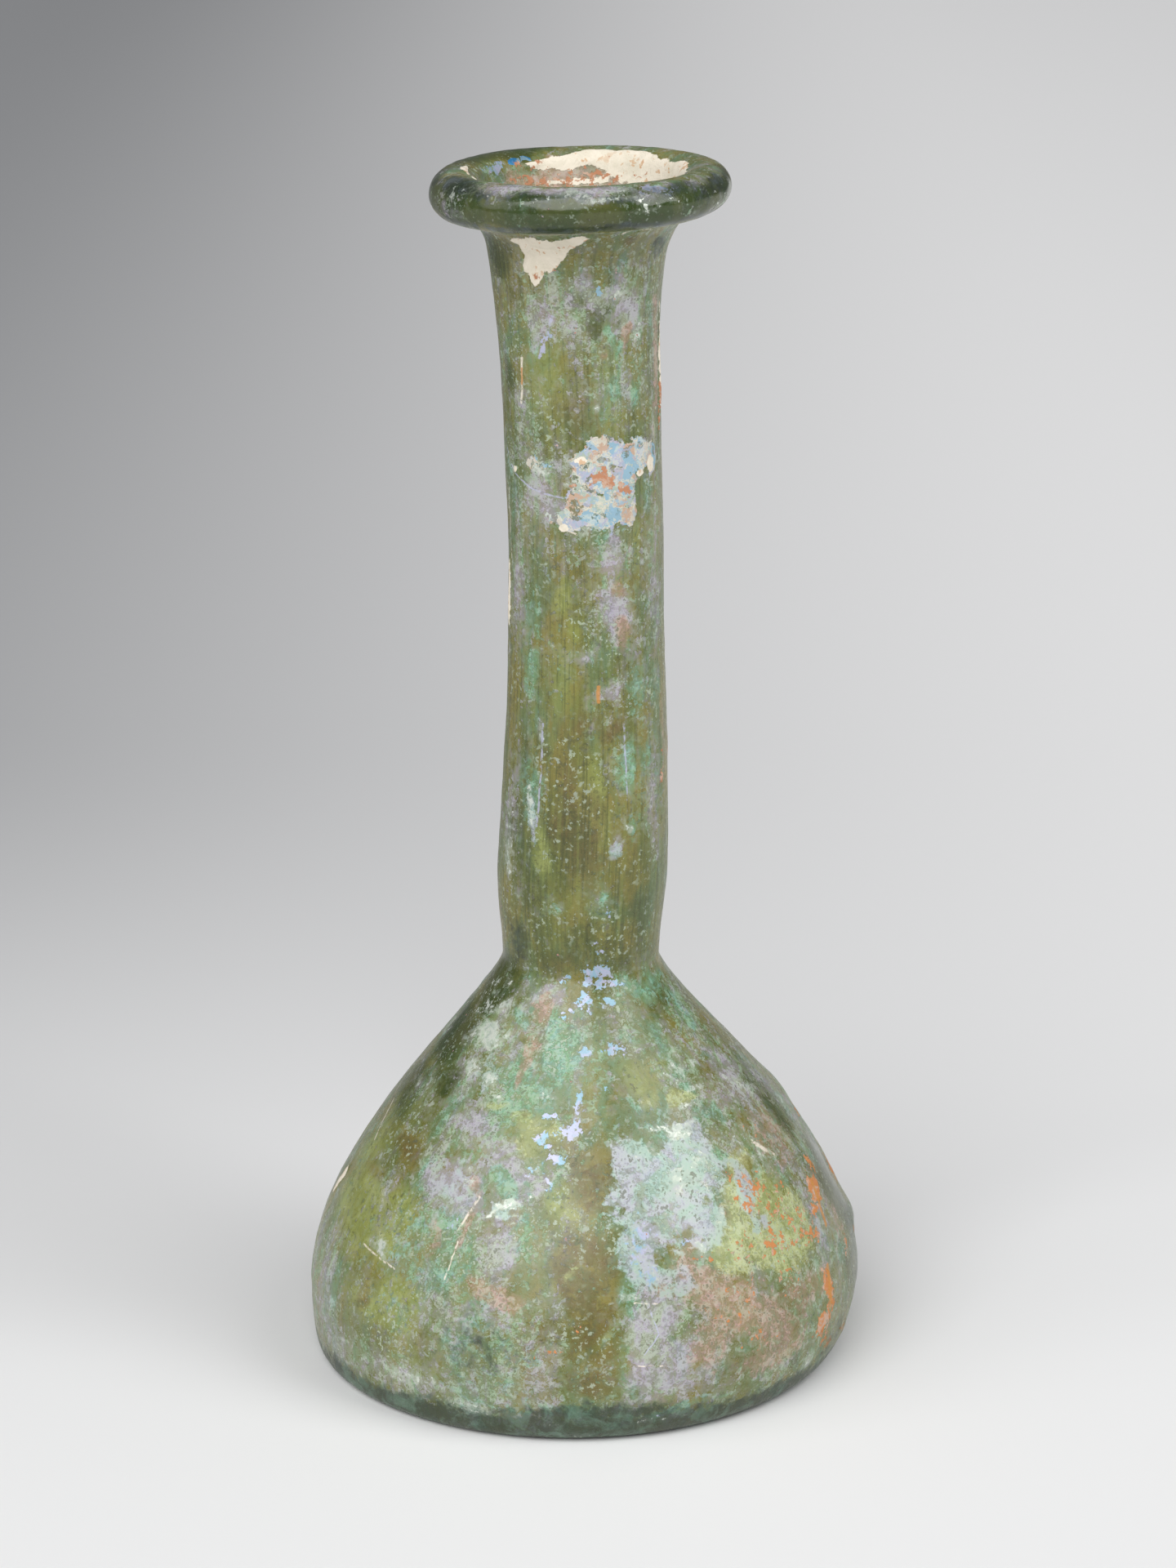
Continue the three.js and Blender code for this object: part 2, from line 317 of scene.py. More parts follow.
class Skin:
    """The places of the flask's surface as arrays: one row a ring, one column a step round it."""

    def __init__(self):
        outside, hollow = profile()
        self.rings = np.vstack([outside, hollow])
        self.outside_rings = len(outside)
        steps = np.vstack([[0, 0], np.diff(self.rings, axis=0)])
        self.reach = np.cumsum(np.hypot(steps[:, 0], steps[:, 1]))[:, None]
        self.degrees = (FRONT - 180 + np.arange(COLUMNS) * 360 / COLUMNS)[None, :]
        self.radius = self.rings[:, :1]
        self.z = self.rings[:, 1:]
        self.is_outside = np.arange(len(self.rings))[:, None] < self.outside_rings
        tangent = np.gradient(self.rings, axis=0)
        tangent /= np.linalg.norm(tangent, axis=1, keepdims=True)
        self.normal_r = tangent[:, 1:]
        self.normal_z = -tangent[:, :1]
        self.top_ring = int(np.argmax(self.rings[:, 1]))

    def reach_of(self, height):
        """The way up the outside wall, in mm of arc, at a height; past the top it goes on inside."""
        last = self.top_ring
        if height <= TOP_Z:
            rising = slice(UNDERSIDE_RINGS, last + 1)
            return float(np.interp(height, self.rings[rising, 1], self.reach[rising, 0]))
        return float(self.reach[last, 0] + height - TOP_Z)

    def unrolled(self, degrees, height):
        """A place on the outside laid flat: mm round it from the front, and the way up in mm."""
        reach = self.reach_of(height)
        radius = float(np.interp(reach, self.reach[:, 0], self.radius[:, 0]))
        return math.radians(turn_between(degrees, FRONT)) * radius, reach

    def patch(self, bends, degrees, height, across, along, amount, turn=0):
        """amount * exp(-(d^2)^1.5), d being the way from the patch's middle in its own half sizes."""
        sideways = np.radians(turn_between(self.degrees + bends[0], degrees)) * self.radius
        upward = self.reach + bends[1] - self.reach_of(height)
        c, s = math.cos(math.radians(turn)), math.sin(math.radians(turn))
        a = (sideways * c + upward * s) / across
        b = (upward * c - sideways * s) / along
        return amount * np.exp(-((a * a + b * b) ** 1.5))

    def field(self, patches, bend, seed):
        """The highest of the patches at each place, with their outlines bent by smooth waves."""
        round_it = bend * BEND_DEGREES * waves(self.degrees, self.reach, seed, 9.0)
        up_it = bend * BEND_MM * waves(self.degrees, self.reach, seed + 1, 7.0)
        total = np.zeros((len(self.rings), COLUMNS))
        for spec in patches:
            total = np.maximum(total, self.patch((round_it, up_it), *spec))
        return total

    def places(self, relief):
        """Points in metres: rings turned round the axis, bent by hand, and raised by the relief."""
        angle = np.radians(self.degrees)
        z = self.z + np.zeros_like(angle)
        body_share = 1 - smooth((z - BELLY_HEIGHT) / SHOULDER_HEIGHT)
        lip_share = smooth((z - FLARE_Z) / FLARE_HEIGHT)
        oval = 1 + OVAL_SHARE * body_share * np.cos(2 * (angle - OVAL_ANGLE))
        roll = 1 + LIP_UNEVENNESS * lip_share * np.cos(angle - LIP_THICK_ANGLE)
        height = LIP_UNDERSIDE_Z + (z - LIP_UNDERSIDE_Z) * np.where(z > LIP_UNDERSIDE_Z, roll, 1)
        on_wall = self.is_outside & (z > BELLY_HEIGHT) & (z < WAIST_Z)
        placed = self.radius * oval + np.where(on_wall, lump_rise(self.degrees, z), 0)
        placed = placed + relief * self.normal_r
        tilt = lip_share * self.radius * np.cos(angle) * math.tan(LIP_TILT)
        x = placed * np.cos(angle) + drift_at(z)
        y = placed * np.sin(angle)
        return np.stack([x, y, height + tilt + relief * self.normal_z], axis=-1) * MM


# Where each kind of weathering lies, and where shade and a highlight are painted, as patches: degrees
# round the axis, height in mm, half width and half length in mm, strength, and degrees of turn where it
# has any.
# Past the top, height goes on down the mouth.

# Dark bottle-green glass, nearly bare.
CLEAR = (
    (-90, 137, 40, 2.8, 1.1),
    (-165, 138, 16, 3.4, 1),
    (-92, 126, 2.2, 1.3, 0.6),
    (-76, 124.6, 2, 0.9, 0.6),
    (-118, 126, 1.6, 2.4, 0.4),
    (-150, 131, 2.8, 3.6, 0.9),
    (-138, 127, 1.6, 2.2, 0.5),
    (-150, 117, 1.5, 2.4, 0.6),
    (-152, 110, 1.8, 3, 0.3),
    (-142, 52, 2.2, 4.4, 0.9),
    (-158, 46, 4.6, 4, 1, 20),
    (-166, 40, 5, 5, 0.9, 20),
    (-152, 36, 3, 3.4, 0.7, 30),
    (-172, 33, 5, 5, 0.7, 20),
    (-5, 20, 3.6, 8, 1),
    (-14, 31, 2, 6, 0.6),
    (-36, 45.5, 4.4, 3.6, 0.45),
    (-48, 55, 2.6, 4.4, 0.5),
    (-90, 53.5, 3, 2, 0.5),
    (-84, 50, 11, 3.4, 0.5),
    (-96, 64, 3.4, 9, 0.42),
    (-134, 66, 3, 12, 0.5),
    (-128, 58, 3, 7, 0.4),
    (-56, 60, 3, 7, 0.35),
    (-8, 12, 4, 9, 0.6),
    (140, 140, 9, 2.2, 1),
    (112, 139, 6, 1.6, 0.9),
    (-40, 5.4, 1.8, 1.6, 0.5, 30),
)

# Yellow-green, where straw-coloured glass shows through.
STRAW = (
    (-114, 116, 3, 8, 0.55),
    (-64, 112.6, 2.4, 2.4, 0.5),
    (-106, 84, 2, 8, 0.5),
    (-152, 21, 10, 6, 0.9),
    (-138, 13, 8, 4, 0.8),
    (-166, 27, 5, 5, 0.7),
    (-128, 8, 6, 4, 0.5),
    (-109, 32, 3, 4, 0.5),
    (-94, 27, 2.4, 3, 0.7),
    (-91, 20, 3, 5, 0.45),
    (-84, 11, 3, 3, 0.35),
    (-107, 92, 1.3, 2.4, 1),
    (-100, 88.6, 1.3, 1.6, 0.9),
    (-84, 70, 1.6, 5, 0.9),
    (-76, 66, 1.4, 3, 0.7),
    (-95, 58, 2, 3, 0.5),
    (-120, 63, 1, 4, 0.9),
    (-100, 119, 3, 6, 0.45),
    (-87, 126, 1.6, 1, 0.6),
    (-62, 118.5, 2.2, 2.4, 0.6),
    (-40, 24, 5, 5, 0.6),
    (-64, 38, 4, 3, 0.6),
    (-90, 38, 2.4, 2, 0.5),
    (-48, 98, 1.6, 4, 0.5),
)

# Brown stain.
UMBER = (
    (-151, 28, 4, 1.6, 0.9, -10),
    (-158, 25, 3.4, 1.1, 0.8),
    (-140, 14.4, 2.6, 1.8, 0.8),
    (-156, 36, 3, 3, 0.5),
    (-89, 29, 3, 5, 0.9),
    (-91, 18, 3.6, 8, 1.3),
    (-88, 9, 5, 3.4, 0.8),
    (-98, 13, 3.4, 5, 0.7),
    (-90, 66, 2.6, 9, 0.9),
    (-82, 12, 1.4, 4, 0.6),
    (-56, 8, 7, 2, 0.7, 10),
    (-44, 12, 3.4, 3.6, 0.6, 20),
    (-41, 37, 7, 2.6, 0.5),
    (-30, 33, 5, 3, 0.35),
    (-70, 77, 1.6, 1.6, 1),
    (-103, 68, 2.2, 8, 1),
    (-92, 78, 3.4, 3, 0.7),
    (-82, 62.5, 2, 2.6, 0.7),
    (-118, 94, 3, 6, 0.5),
    (-96, 95, 2.6, 4, 0.5),
    (-95, 114, 3.4, 4, 0.7),
    (-60, 132.6, 1.6, 0.9, 0.8),
    (-84, 129, 4, 2, 0.3),
    (-112, 49.5, 2.4, 2, 0.6),
    (-98, 50, 2, 1.2, 0.7),
)

# Mint and sea-green film.
MINT = (
    (-112, 36, 6, 4, 0.6),
    (-128, 21, 6, 6, 0.5),
    (-106, 24, 3, 4, 0.5, 30),
    (-96, 39, 5, 5, 0.5),
    (-112, 8, 6, 4, 0.4),
    (-60, 117, 2.6, 5, 0.5),
    (-62, 20, 3, 4, 0.4),
    (-100, 41, 3.4, 4, 0.8),
    (-106, 43.5, 1.6, 1.6, 0.8),
    (-122, 38.5, 4, 3, 0.6),
    (-128, 43, 2, 2, 0.6),
    (-92, 45, 1.4, 1.6, 0.6),
    (-60, 73, 1.6, 3.6, 1),
    (-54, 82, 1.2, 5, 0.7),
    (-56, 65.5, 1, 1.6, 0.9),
    (-44, 74, 2, 7, 0.5),
    (-134, 83, 1.4, 3, 0.8),
    (-130, 70, 2, 5, 0.8),
    (-72, 122.8, 1.1, 0.7, 1),
    (-62, 122, 0.9, 0.5, 0.9),
    (-46, 116, 1.4, 3, 0.7),
    (-79, 57.6, 0.9, 0.9, 1),
    (-106, 56, 1.8, 1.8, 0.6),
    (-40, 46, 5, 2.6, 0.85),
    (-24, 43, 3, 3, 0.6),
    (-70, 42, 3, 2, 0.5),
    (-116, 28, 2.4, 2, 0.9, 30),
    (-122, 20.5, 0.9, 3.4, 0.8, -10),
    (-62, 32.5, 5, 1.6, 0.8),
    (-52, 30, 2.2, 1.8, 0.8),
    (-28, 29.5, 1, 1, 0.5),
    (-95, 4.4, 10, 1.2, 0.6),
    (-70, 4.6, 8, 1, 0.7),
    (-110, 12, 5, 4, 0.5),
    (-12, 25, 2, 3, 0.6),
)

# Grey veil, lilac in places.
HAZE = (
    (-82, 127, 5, 2.6, 0.8),
    (-104, 37, 3, 4, 0.4),
    (-112, 102.4, 2.2, 1.7, 0.9),
    (-26, 20, 5, 6, 0.5),
    (-118, 24, 6, 4, 0.6),
    (-30, 25, 5, 5, 0.5),
    (-113, 46, 3, 2, 1),
    (-140, 36, 4, 3.4, 0.55),
    (-127, 27, 5, 4.6, 1),
    (-118, 31, 4, 3, 0.8),
    (-130, 33, 4, 3, 0.7),
    (-108, 29, 4, 3.4, 0.8),
    (-113, 22, 4, 2.4, 0.8, 20),
    (-114, 14, 5, 5, 0.6),
    (-103, 10, 4.6, 3.6, 0.45),
    (-128, 14, 3, 4, 0.5),
    (-77, 14, 3, 7, 1),
    (-70, 9, 5, 3, 0.8),
    (-78, 5.5, 7, 1.6, 0.5),
    (-70, 97, 2, 2.4, 0.8),
    (-66, 91, 2.4, 4, 1),
    (-74, 81.5, 2, 1.6, 0.8),
    (-84, 78.6, 0.8, 0.6, 0.8),
    (-92, 86, 2.4, 1.4, 0.6),
    (-54, 125, 2.6, 4, 0.9),
    (-72, 127.6, 1.6, 1.4, 0.8),
    (-116, 124, 1.6, 3, 0.8, 20),
    (-92, 124, 2.6, 2, 0.5),
    (-128, 115, 3, 4, 0.5),
    (-68, 63.2, 1.3, 1.5, 1),
    (-34, 70, 2, 9, 0.7),
    (-30, 90, 2.2, 12, 0.6),
    (-148, 92, 2.2, 10, 0.6),
    (-150, 66, 2.2, 9, 0.8),
    (-138, 60, 1.6, 4, 0.6),
    (-36, 35, 8, 3, 0.5),
    (-20, 36, 4, 5, 0.6),
    (-46, 6.6, 4, 2, 0.6),
    (-150, 5, 9, 2.6, 0.5),
    (-162, 11, 4, 6, 0.5),
    (-128, 5, 7, 2.4, 0.5),
    (-52, 84, 2.6, 6, 0.6),
    (-100, 3.2, 9, 1.2, 0.6),
    (-90, 139.4, 26, 1.3, 0.9),
    (-36, 138.5, 5, 2.4, 0.8),
    (-145, 137.4, 5, 2, 0.7),
    (-124, 104, 3, 3, 0.7),
)

# Rose to salmon, in sandy specks.
ROSE = (
    (-62, 12, 6, 4, 0.6),
    (-46, 12, 5, 4, 0.6),
    (-36, 14, 4, 5, 0.5),
    (-59, 16, 5.4, 3.2, 0.9),
    (-68, 19, 4, 2.4, 0.8),
    (-53, 13, 4, 3, 0.9),
    (-48, 8, 4, 1.6, 0.8, 10),
    (-62, 10, 5, 2, 0.5),
    (-64, 22, 3, 1.6, 0.7, 20),
    (-62, 27.5, 2.4, 1.4, 0.6),
    (-55, 24, 2, 2, 0.5),
    (-56, 122.4, 1, 0.8, 1),
    (-70, 121, 0.8, 0.5, 0.8),
    (-24, 119, 1, 9, 0.8),
    (-60, 88, 1.4, 1.4, 0.8),
    (-64, 94, 1.4, 2, 0.6),
    (-110, 17.6, 1.7, 3.2, 1, 10),
    (-112, 44.8, 1.6, 1.4, 0.7),
    (-116, 40, 0.8, 4, 0.6),
    (-121, 27.5, 1.6, 1.6, 0.6),
    (-120, 23, 1, 2, 0.7),
    (-24, 29, 4, 4, 0.5),
    (-18, 18, 2, 3, 0.5),
    (-132, 22, 2, 3, 0.5),
    (-22, 76, 0.8, 5, 0.6),
    (100, 145.2, 9, 1.6, 1.2),
    (70, 145.6, 7, 1.4, 1.2),
)

# Yellow-green film with a bright edge.
LIME_PLACES = (
    (-54, 21, 4, 3.2, 1.2, 20),
    (-48, 25, 3.6, 3.6, 1),
    (-38, 21, 5.4, 5, 1.2),
    (-40, 28, 3, 3, 0.9),
    (-33, 18.5, 2, 1.6, 0.6),
    (-108, 33.5, 2.4, 1.6, 0.8),
    (-119, 35, 2, 1.2, 0.6),
    (-94, 25.5, 0.8, 1, 0.9),
    (-92, 20, 0.8, 1.2, 0.7),
    (-88, 13, 0.8, 1, 0.6),
    (-52, 35.5, 3, 1, 0.8),
    (-65, 36.5, 2, 1, 0.5),
    (-150, 24, 3, 1.6, 0.5),
    (-143, 20, 3, 1.6, 0.5),
)

# Pearly film, from aqua through lavender to white.
PEARL_PLACES = (
    (-102, 41, 2.6, 3.4, 0.2),
    (-72, 27, 5.6, 6, 1),
    (-78, 22, 2.6, 5, 1),
    (-77, 31, 2.6, 3, 1),
    (-62, 29, 5, 4, 1),
    (-60, 24, 3, 3, 0.8),
    (-56, 32.5, 3, 1.6, 0.9),
    (-70, 19, 3, 2, 0.7),
    (-46, 26.4, 1.4, 3, 0.8),
    (-45, 22.5, 1.6, 1.6, 0.6),
    (-130, 38, 3, 2.4, 0.4, 20),
    (-127, 27, 3.6, 3.4, 0.35),
    (-110, 26, 2, 1.2, 0.6),
    (-68, 63.2, 1.1, 1.2, 0.9),
    (-128, 67, 0.9, 4, 0.7, 10),
    (-60, 108, 6, 3, 0.6),
)

# Lavender and sky-blue flakes, and a painted highlight on the front of the lip.
AZURE_FLAKES_AND_LIP_HIGHLIGHT = (
    (-81, 48.4, 2, 1.1, 1),
    (-87, 46, 1.2, 2.2, 1),
    (-72, 47.4, 2, 1, 1, 10),
    (-73, 45.6, 1.2, 0.7, 0.8),
    (-64, 47.4, 1.4, 0.9, 0.7),
    (-98, 45, 1.2, 0.9, 0.8, 20),
    (-101, 47.6, 1, 0.8, 0.6),
    (-89, 41, 1, 1, 0.9),
    (-75, 41, 1.8, 0.9, 1),
    (-80, 37.6, 1, 0.8, 0.6),
    (-92, 36.4, 0.7, 2.2, 1),
    (-95, 33.4, 1.6, 1.1, 1.1, 30),
    (-101, 34.8, 1.2, 0.6, 0.9),
    (-103, 32.4, 1.2, 1.4, 1),
    (-98, 31, 1.2, 1, 1),
    (-105, 30, 1.6, 1, 0.7),
    (-100, 28.4, 0.8, 1.2, 0.6),
    (-79, 23, 2.2, 4, 0.6),
    (-76, 19.5, 1.6, 1.6, 0.8),
    (-66, 22.5, 1.2, 1, 0.7),
    (-46, 26, 1, 2.4, 0.7),
    (-124, 24, 1.4, 2.4, 0.5),
    (-112, 122, 0.7, 2.2, 0.8, -25),
    (-74, 127.4, 1.2, 0.8, 0.7),
    (-68, 109, 1.4, 0.7, 1.1),
    (-85, 109.4, 1, 0.5, 1),
    (-82, 103.8, 2.2, 0.8, 1),
    (-64, 103.4, 2.2, 0.6, 0.9),
    (-72, 101, 2, 0.5, 0.9),
    (-50, 109, 0.8, 1, 0.7),
    (-75, 59.6, 0.5, 0.5, 1),
    (-70, 56, 0.8, 1.2, 0.7),
    (-78, 51.4, 1.6, 0.6, 0.8),
    (146, 142.6, 2.6, 0.9, 0.9),
    # Painted highlight: a lavender sheen on the front of the lip.
    (-60, 139.3, 3.4, 0.9, 0.85),
    (-72, 3.6, 2, 0.6, 0.6),
)

# One deep blue spot in the mouth.
COBALT = (
    (130, 143, 1, 0.6, 1.2),
    (121, 142.6, 0.9, 0.4, 0.9),
)

# Silver-white scale.
SILVER = (
    (-141, 41.4, 2.6, 1.5, 1.1, 20),
    (-131, 42, 1.6, 0.8, 0.8),
    (-148, 40, 2, 1, 0.8),
    (-140, 38, 1.8, 1.6, 0.9),
    (-127, 37.6, 1.6, 1.4, 1),
    (-120, 36.4, 1.6, 1, 0.7),
    (-160, 43, 2.4, 2, 0.6, 30),
    (-152, 47, 1.6, 1.6, 0.7, 30),
    (-165, 34, 3, 1.4, 0.5),
    (-104, 36.4, 1.6, 1, 0.7),
    (-109, 26.6, 2.6, 1.2, 0.82),
    (-114, 25, 1.6, 0.8, 0.8),
    (-124, 28, 2, 2, 0.6),
    (-60, 33.2, 4, 0.8, 0.8),
    (-66, 28.6, 2.4, 1.4, 0.7),
    (-56, 30.4, 2.2, 1.2, 0.7),
    (-70, 31.4, 1.4, 0.8, 0.7),
    (-52, 34.4, 2, 0.6, 0.8),
    (-46, 35.6, 2, 0.6, 0.8),
    (-64, 21.6, 1.6, 1.6, 0.8),
    (-80, 17.6, 1.4, 0.7, 0.9),
    (-47, 24, 1.2, 2.4, 0.7),
    (-32, 35, 4, 2, 0.6),
    (-20, 34, 3, 3, 0.6),
    (-145, 17.8, 3.6, 0.7, 0.9, -10),
    (-150, 4.5, 7, 2, 0.5),
    (-160, 9, 4, 4, 0.45),
    (-128, 5, 5, 1.6, 0.6),
    (-112, 3.4, 5, 1, 0.7),
    (-112, 107.6, 4, 1.4, 0.6),
    (-38, 28, 5, 4, 0.55),
    (-34, 16, 3, 3, 0.5),
    (-48, 38, 5, 4, 0.55),
    (-92, 2.6, 6, 0.7, 0.8),
    (-70, 2.6, 6, 0.6, 0.8),
    (-36, 5, 2.6, 1.8, 0.8),
    (-60, 65, 1, 1.2, 0.9),
    (-130, 68, 0.7, 4, 0.7, 8),
    (-124, 76, 0.6, 2.4, 0.7, 8),
    (-150, 63, 1.6, 6, 0.7),
    (-80, 114.2, 0.7, 0.6, 1),
    (-62, 128, 1.2, 1.6, 0.6),
    (-48, 123, 1.2, 2.4, 0.6),
    (-44, 109, 1.6, 1.6, 1),
    (-90, 101.6, 2, 0.8, 0.9),
    (-64, 109.8, 1.6, 0.8, 0.9),
    (-128, 107.8, 2.4, 1.1, 0.75),
    (-104, 105.4, 1.4, 0.6, 0.9),
    (-147, 138.5, 3, 1.6, 0.8),
    (-106, 138.9, 7, 0.9, 0.8),
    (-82, 139.3, 8, 0.9, 0.85),
    (-58, 138.9, 5, 0.9, 0.7),
    (-160, 44, 2, 3, 0.8, 30),
    (-146, 44, 2.4, 2, 0.9, 20),
    (-20, 137.4, 4, 2, 0.7),
    (-40, 137.6, 4, 1.2, 0.6),
    (-4, 30, 2, 2, 0.6),
)

# Salmon to terracotta earth.
CLAY = (
    (-78, 107, 1.3, 1, 1.2),
    (-71, 105.8, 1, 0.9, 1.2),
    (-86, 106, 1.2, 0.4, 0.9),
    (-60, 105, 1.1, 0.8, 1.1),
    (-98, 105.8, 1, 0.4, 0.8),
    (-50, 104.2, 0.7, 0.4, 0.8),
    (-72, 101.7, 0.9, 0.3, 0.8),
    (-36, 107.4, 0.8, 0.5, 0.8),
    (-20, 22.6, 2, 2.4, 1.2, 25),
    (-15, 25, 0.9, 1.8, 0.9, 20),
    (-24, 20.6, 1.8, 1, 1),
    (-28, 12.4, 1.4, 3, 1.3, 10),
    (-31, 8.8, 2, 1.6, 1.2, 20),
    (-29, 6.6, 1.4, 1.2, 1),
    (-25, 4.8, 1.8, 0.9, 0.9),
    (-18, 5.4, 2, 0.9, 0.8),
    (-12, 4, 2.6, 0.9, 0.9),
    (-14, 15, 1, 1.6, 0.8),
    (-45, 25.6, 3.2, 3.6, 0.66, 10),
    (-38, 24, 3, 3.4, 0.6),
    (-41, 19.6, 3.6, 2.6, 0.7),
    (-32, 20.4, 3, 3.4, 0.62),
    (-28, 18.6, 1.8, 1.1, 0.95),
    (-42, 16, 3, 2.4, 0.55),
    (-52, 21, 3, 2.6, 0.5),
    (-57, 15, 4.4, 3, 0.52),
    (-50, 11, 3.4, 2.4, 0.45),
    (-64, 20.6, 1.8, 1, 0.6),
    (-30, 30, 2.6, 3, 0.45, 20),
    (-94, 131.9, 0.4, 0.25, 1),
    (-100, 132.5, 0.4, 0.3, 0.9),
    (-114, 132.6, 0.3, 0.2, 0.8),
    (-114, 128.6, 0.6, 0.6, 0.9),
    (-100, 12, 1, 1.4, 0.5),
    (-96, 11.6, 1.4, 1.4, 0.55),
    (-91, 14, 1, 2, 0.5),
    (-24, 72, 0.5, 3, 0.8),
    (-14, 113, 0.6, 5, 0.8),
    (112, 144.9, 7, 1.9, 0.62),
    (84, 145.2, 7, 1.8, 0.6),
    (60, 144.4, 5, 1.2, 0.45),
    (120, 143, 3, 0.8, 0.6),
)

# Cream crust.
CREAM = (
    (-117, 132.4, 2.3, 1.7, 1),
    (-108, 132.2, 2, 1.6, 1),
    (-99, 133.2, 2, 0.9, 1),
    (-91, 133.7, 1.6, 0.4, 1),
    (-112, 131, 1.8, 1.3, 1),
    (-118, 130.2, 1.5, 1.3, 1),
    (-116, 129, 0.9, 1.2, 1),
    (-128, 133.2, 1.4, 0.5, 0.9),
    (-92, 108.2, 1, 0.6, 0.8),
    (-105, 104.5, 0.9, 0.35, 0.9),
    (-34, 107.9, 1, 1.2, 0.7),
    (-46, 106.6, 1, 0.5, 0.8),
    (-108, 100.7, 2.2, 0.25, 0.8),
    (-176, 20.6, 0.8, 2.6, 0.9),
    (70, 142.8, 8, 1.5, 1),
    (40, 144.2, 7, 2.4, 1),
    (92, 145.6, 6, 0.5, 0.7),
    (15, 143, 4, 1.4, 0.8),
    (98, 143.2, 3.6, 0.9, 1),
    (111, 143, 2.6, 0.5, 0.9),
    (-162, 143, 2.2, 0.9, 0.9, 20),
    (178, 141.5, 2.6, 0.5, 0.8, 10),
    (-128, 144, 5, 0.9, 0.9),
    (-55, 134.3, 2.4, 0.25, 0.9),
    (-40, 134.4, 2, 0.25, 0.7),
    (-12, 118, 0.5, 9, 0.6),
    (-168, 92, 0.5, 5, 0.8),
    (-148, 106.7, 0.5, 0.5, 0.9),
)

# Painted shade, nearly black green going to teal, under the lip and along the foot; and the lip's own
# slate band and dark teal patches of the glass.
SHADE_AND_DARK_GLASS = (
    # Painted shade along the foot, by the table.
    (-92, 1.2, 60, 2.8, 1),
    (-88, 3.6, 14, 2, 0.8),
    (-24, 5, 8, 4, 0.4),
    # Dark teal patches of the glass.
    (-92, 10, 3, 3, 0.2),
    (-112, 11, 6, 4, 0.42),
    # Painted shade under the lip.
    (-88, 135.2, 60, 0.9, 0.6),
    # The lip's own slate band and dark patches of the glass.
    (-90, 139.1, 60, 1.3, 0.5),
    (-26, 138.6, 6, 2.2, 0.6),
    (-30, 131.6, 2.6, 1.4, 0.6),
    (-150, 139.6, 5, 2, 0.8),
    (-142, 51.5, 2, 3, 0.5),
    (-8, 12, 2, 8, 0.4),
)

# Laminated scale, in thick plates.
PLATES = (
    (-75, 110.1, 2.2, 1.5, 1),
    (-60, 108.8, 1.8, 1.7, 1),
    (-46, 108.4, 2, 2.3, 1),
    (-33, 108.2, 1.5, 2.2, 0.9),
    (-89, 108.4, 1.6, 1.7, 1),
    (-80, 106, 3, 2, 1),
    (-65, 105.6, 2.6, 2.2, 1),
    (-93, 103.2, 2.2, 2.2, 1),
    (-76, 102.4, 3, 2, 1),
    (-60, 102.6, 2, 1.9, 1),
    (-101, 101.6, 1.4, 1.2, 0.8),
    (-112, 102.4, 1.6, 1.4, 0.5),
    (-128, 107.8, 2.4, 1.2, 0.55),
)

FIELDS = {
    "clear": CLEAR,
    "straw": STRAW,
    "umber": UMBER,
    "mint": MINT,
    "haze": HAZE,
    "rose": ROSE,
    "lime": LIME_PLACES,
    "pearl": PEARL_PLACES,
    "azure": AZURE_FLAKES_AND_LIP_HIGHLIGHT,
    "silver": SILVER,
    "clay": CLAY,
    "cream": CREAM,
    "shade": SHADE_AND_DARK_GLASS,
    "plates": PLATES,
    "cobalt": COBALT,
}
TORN_FIELDS = ("cream", "clay", "azure", "shade", "plates", "pearl", "cobalt")


def round_the_back(patches, seed):
    """The patches again on the side that faces away: turned half round, mirrored and shifted."""
    rng = np.random.default_rng(seed)
    back = []
    for degrees, height, across, along, amount, *turn in patches:
        if height > LIP_UNDERSIDE_Z:
            continue
        moved = -degrees + rng.uniform(-BACK_SHIFT, BACK_SHIFT)
        lifted = height + rng.uniform(-BACK_LIFT, BACK_LIFT)
        lifted = float(np.clip(lifted, LOWEST_PATCH, LIP_UNDERSIDE_Z))
        weaker = amount * rng.uniform(BACK_WEAKEST, 1.0)
        back.append((moved, lifted, across, along, weaker, *[-angle for angle in turn]))
    return back


def weathering(surface):
    """Each field's strength over the surface, from 0 to 1, with the painted shade and highlight among
    them.
    """
    fields = {}
    for number, (name, patches) in enumerate(FIELDS.items()):
        everywhere = list(patches) + round_the_back(patches, 40 + number)
        bend = TORN_BEND if name in TORN_FIELDS else SOFT_BEND
        fields[name] = surface.field(everywhere, bend, 7 * number + 5)
    return fields


def sand_inside(surface, fields):
    """Burial dirt on the walls of the hollow below the mouth: a patchy milky film and brown dust."""
    dirt = {
        "haze": 0.45 + 0.25 * waves(surface.degrees, surface.reach, 91, 12.0),
        "umber": 0.4 + 0.3 * waves(surface.degrees, surface.reach, 92, 8.0),
    }
    in_mouth = surface.reach < surface.reach[surface.outside_rings, 0] + MOUTH_DEPTH
    inside = ~surface.is_outside & ~in_mouth
    for name, values in fields.items():
        fields[name] = np.where(inside, np.clip(dirt.get(name, 0), 0, 1), values)


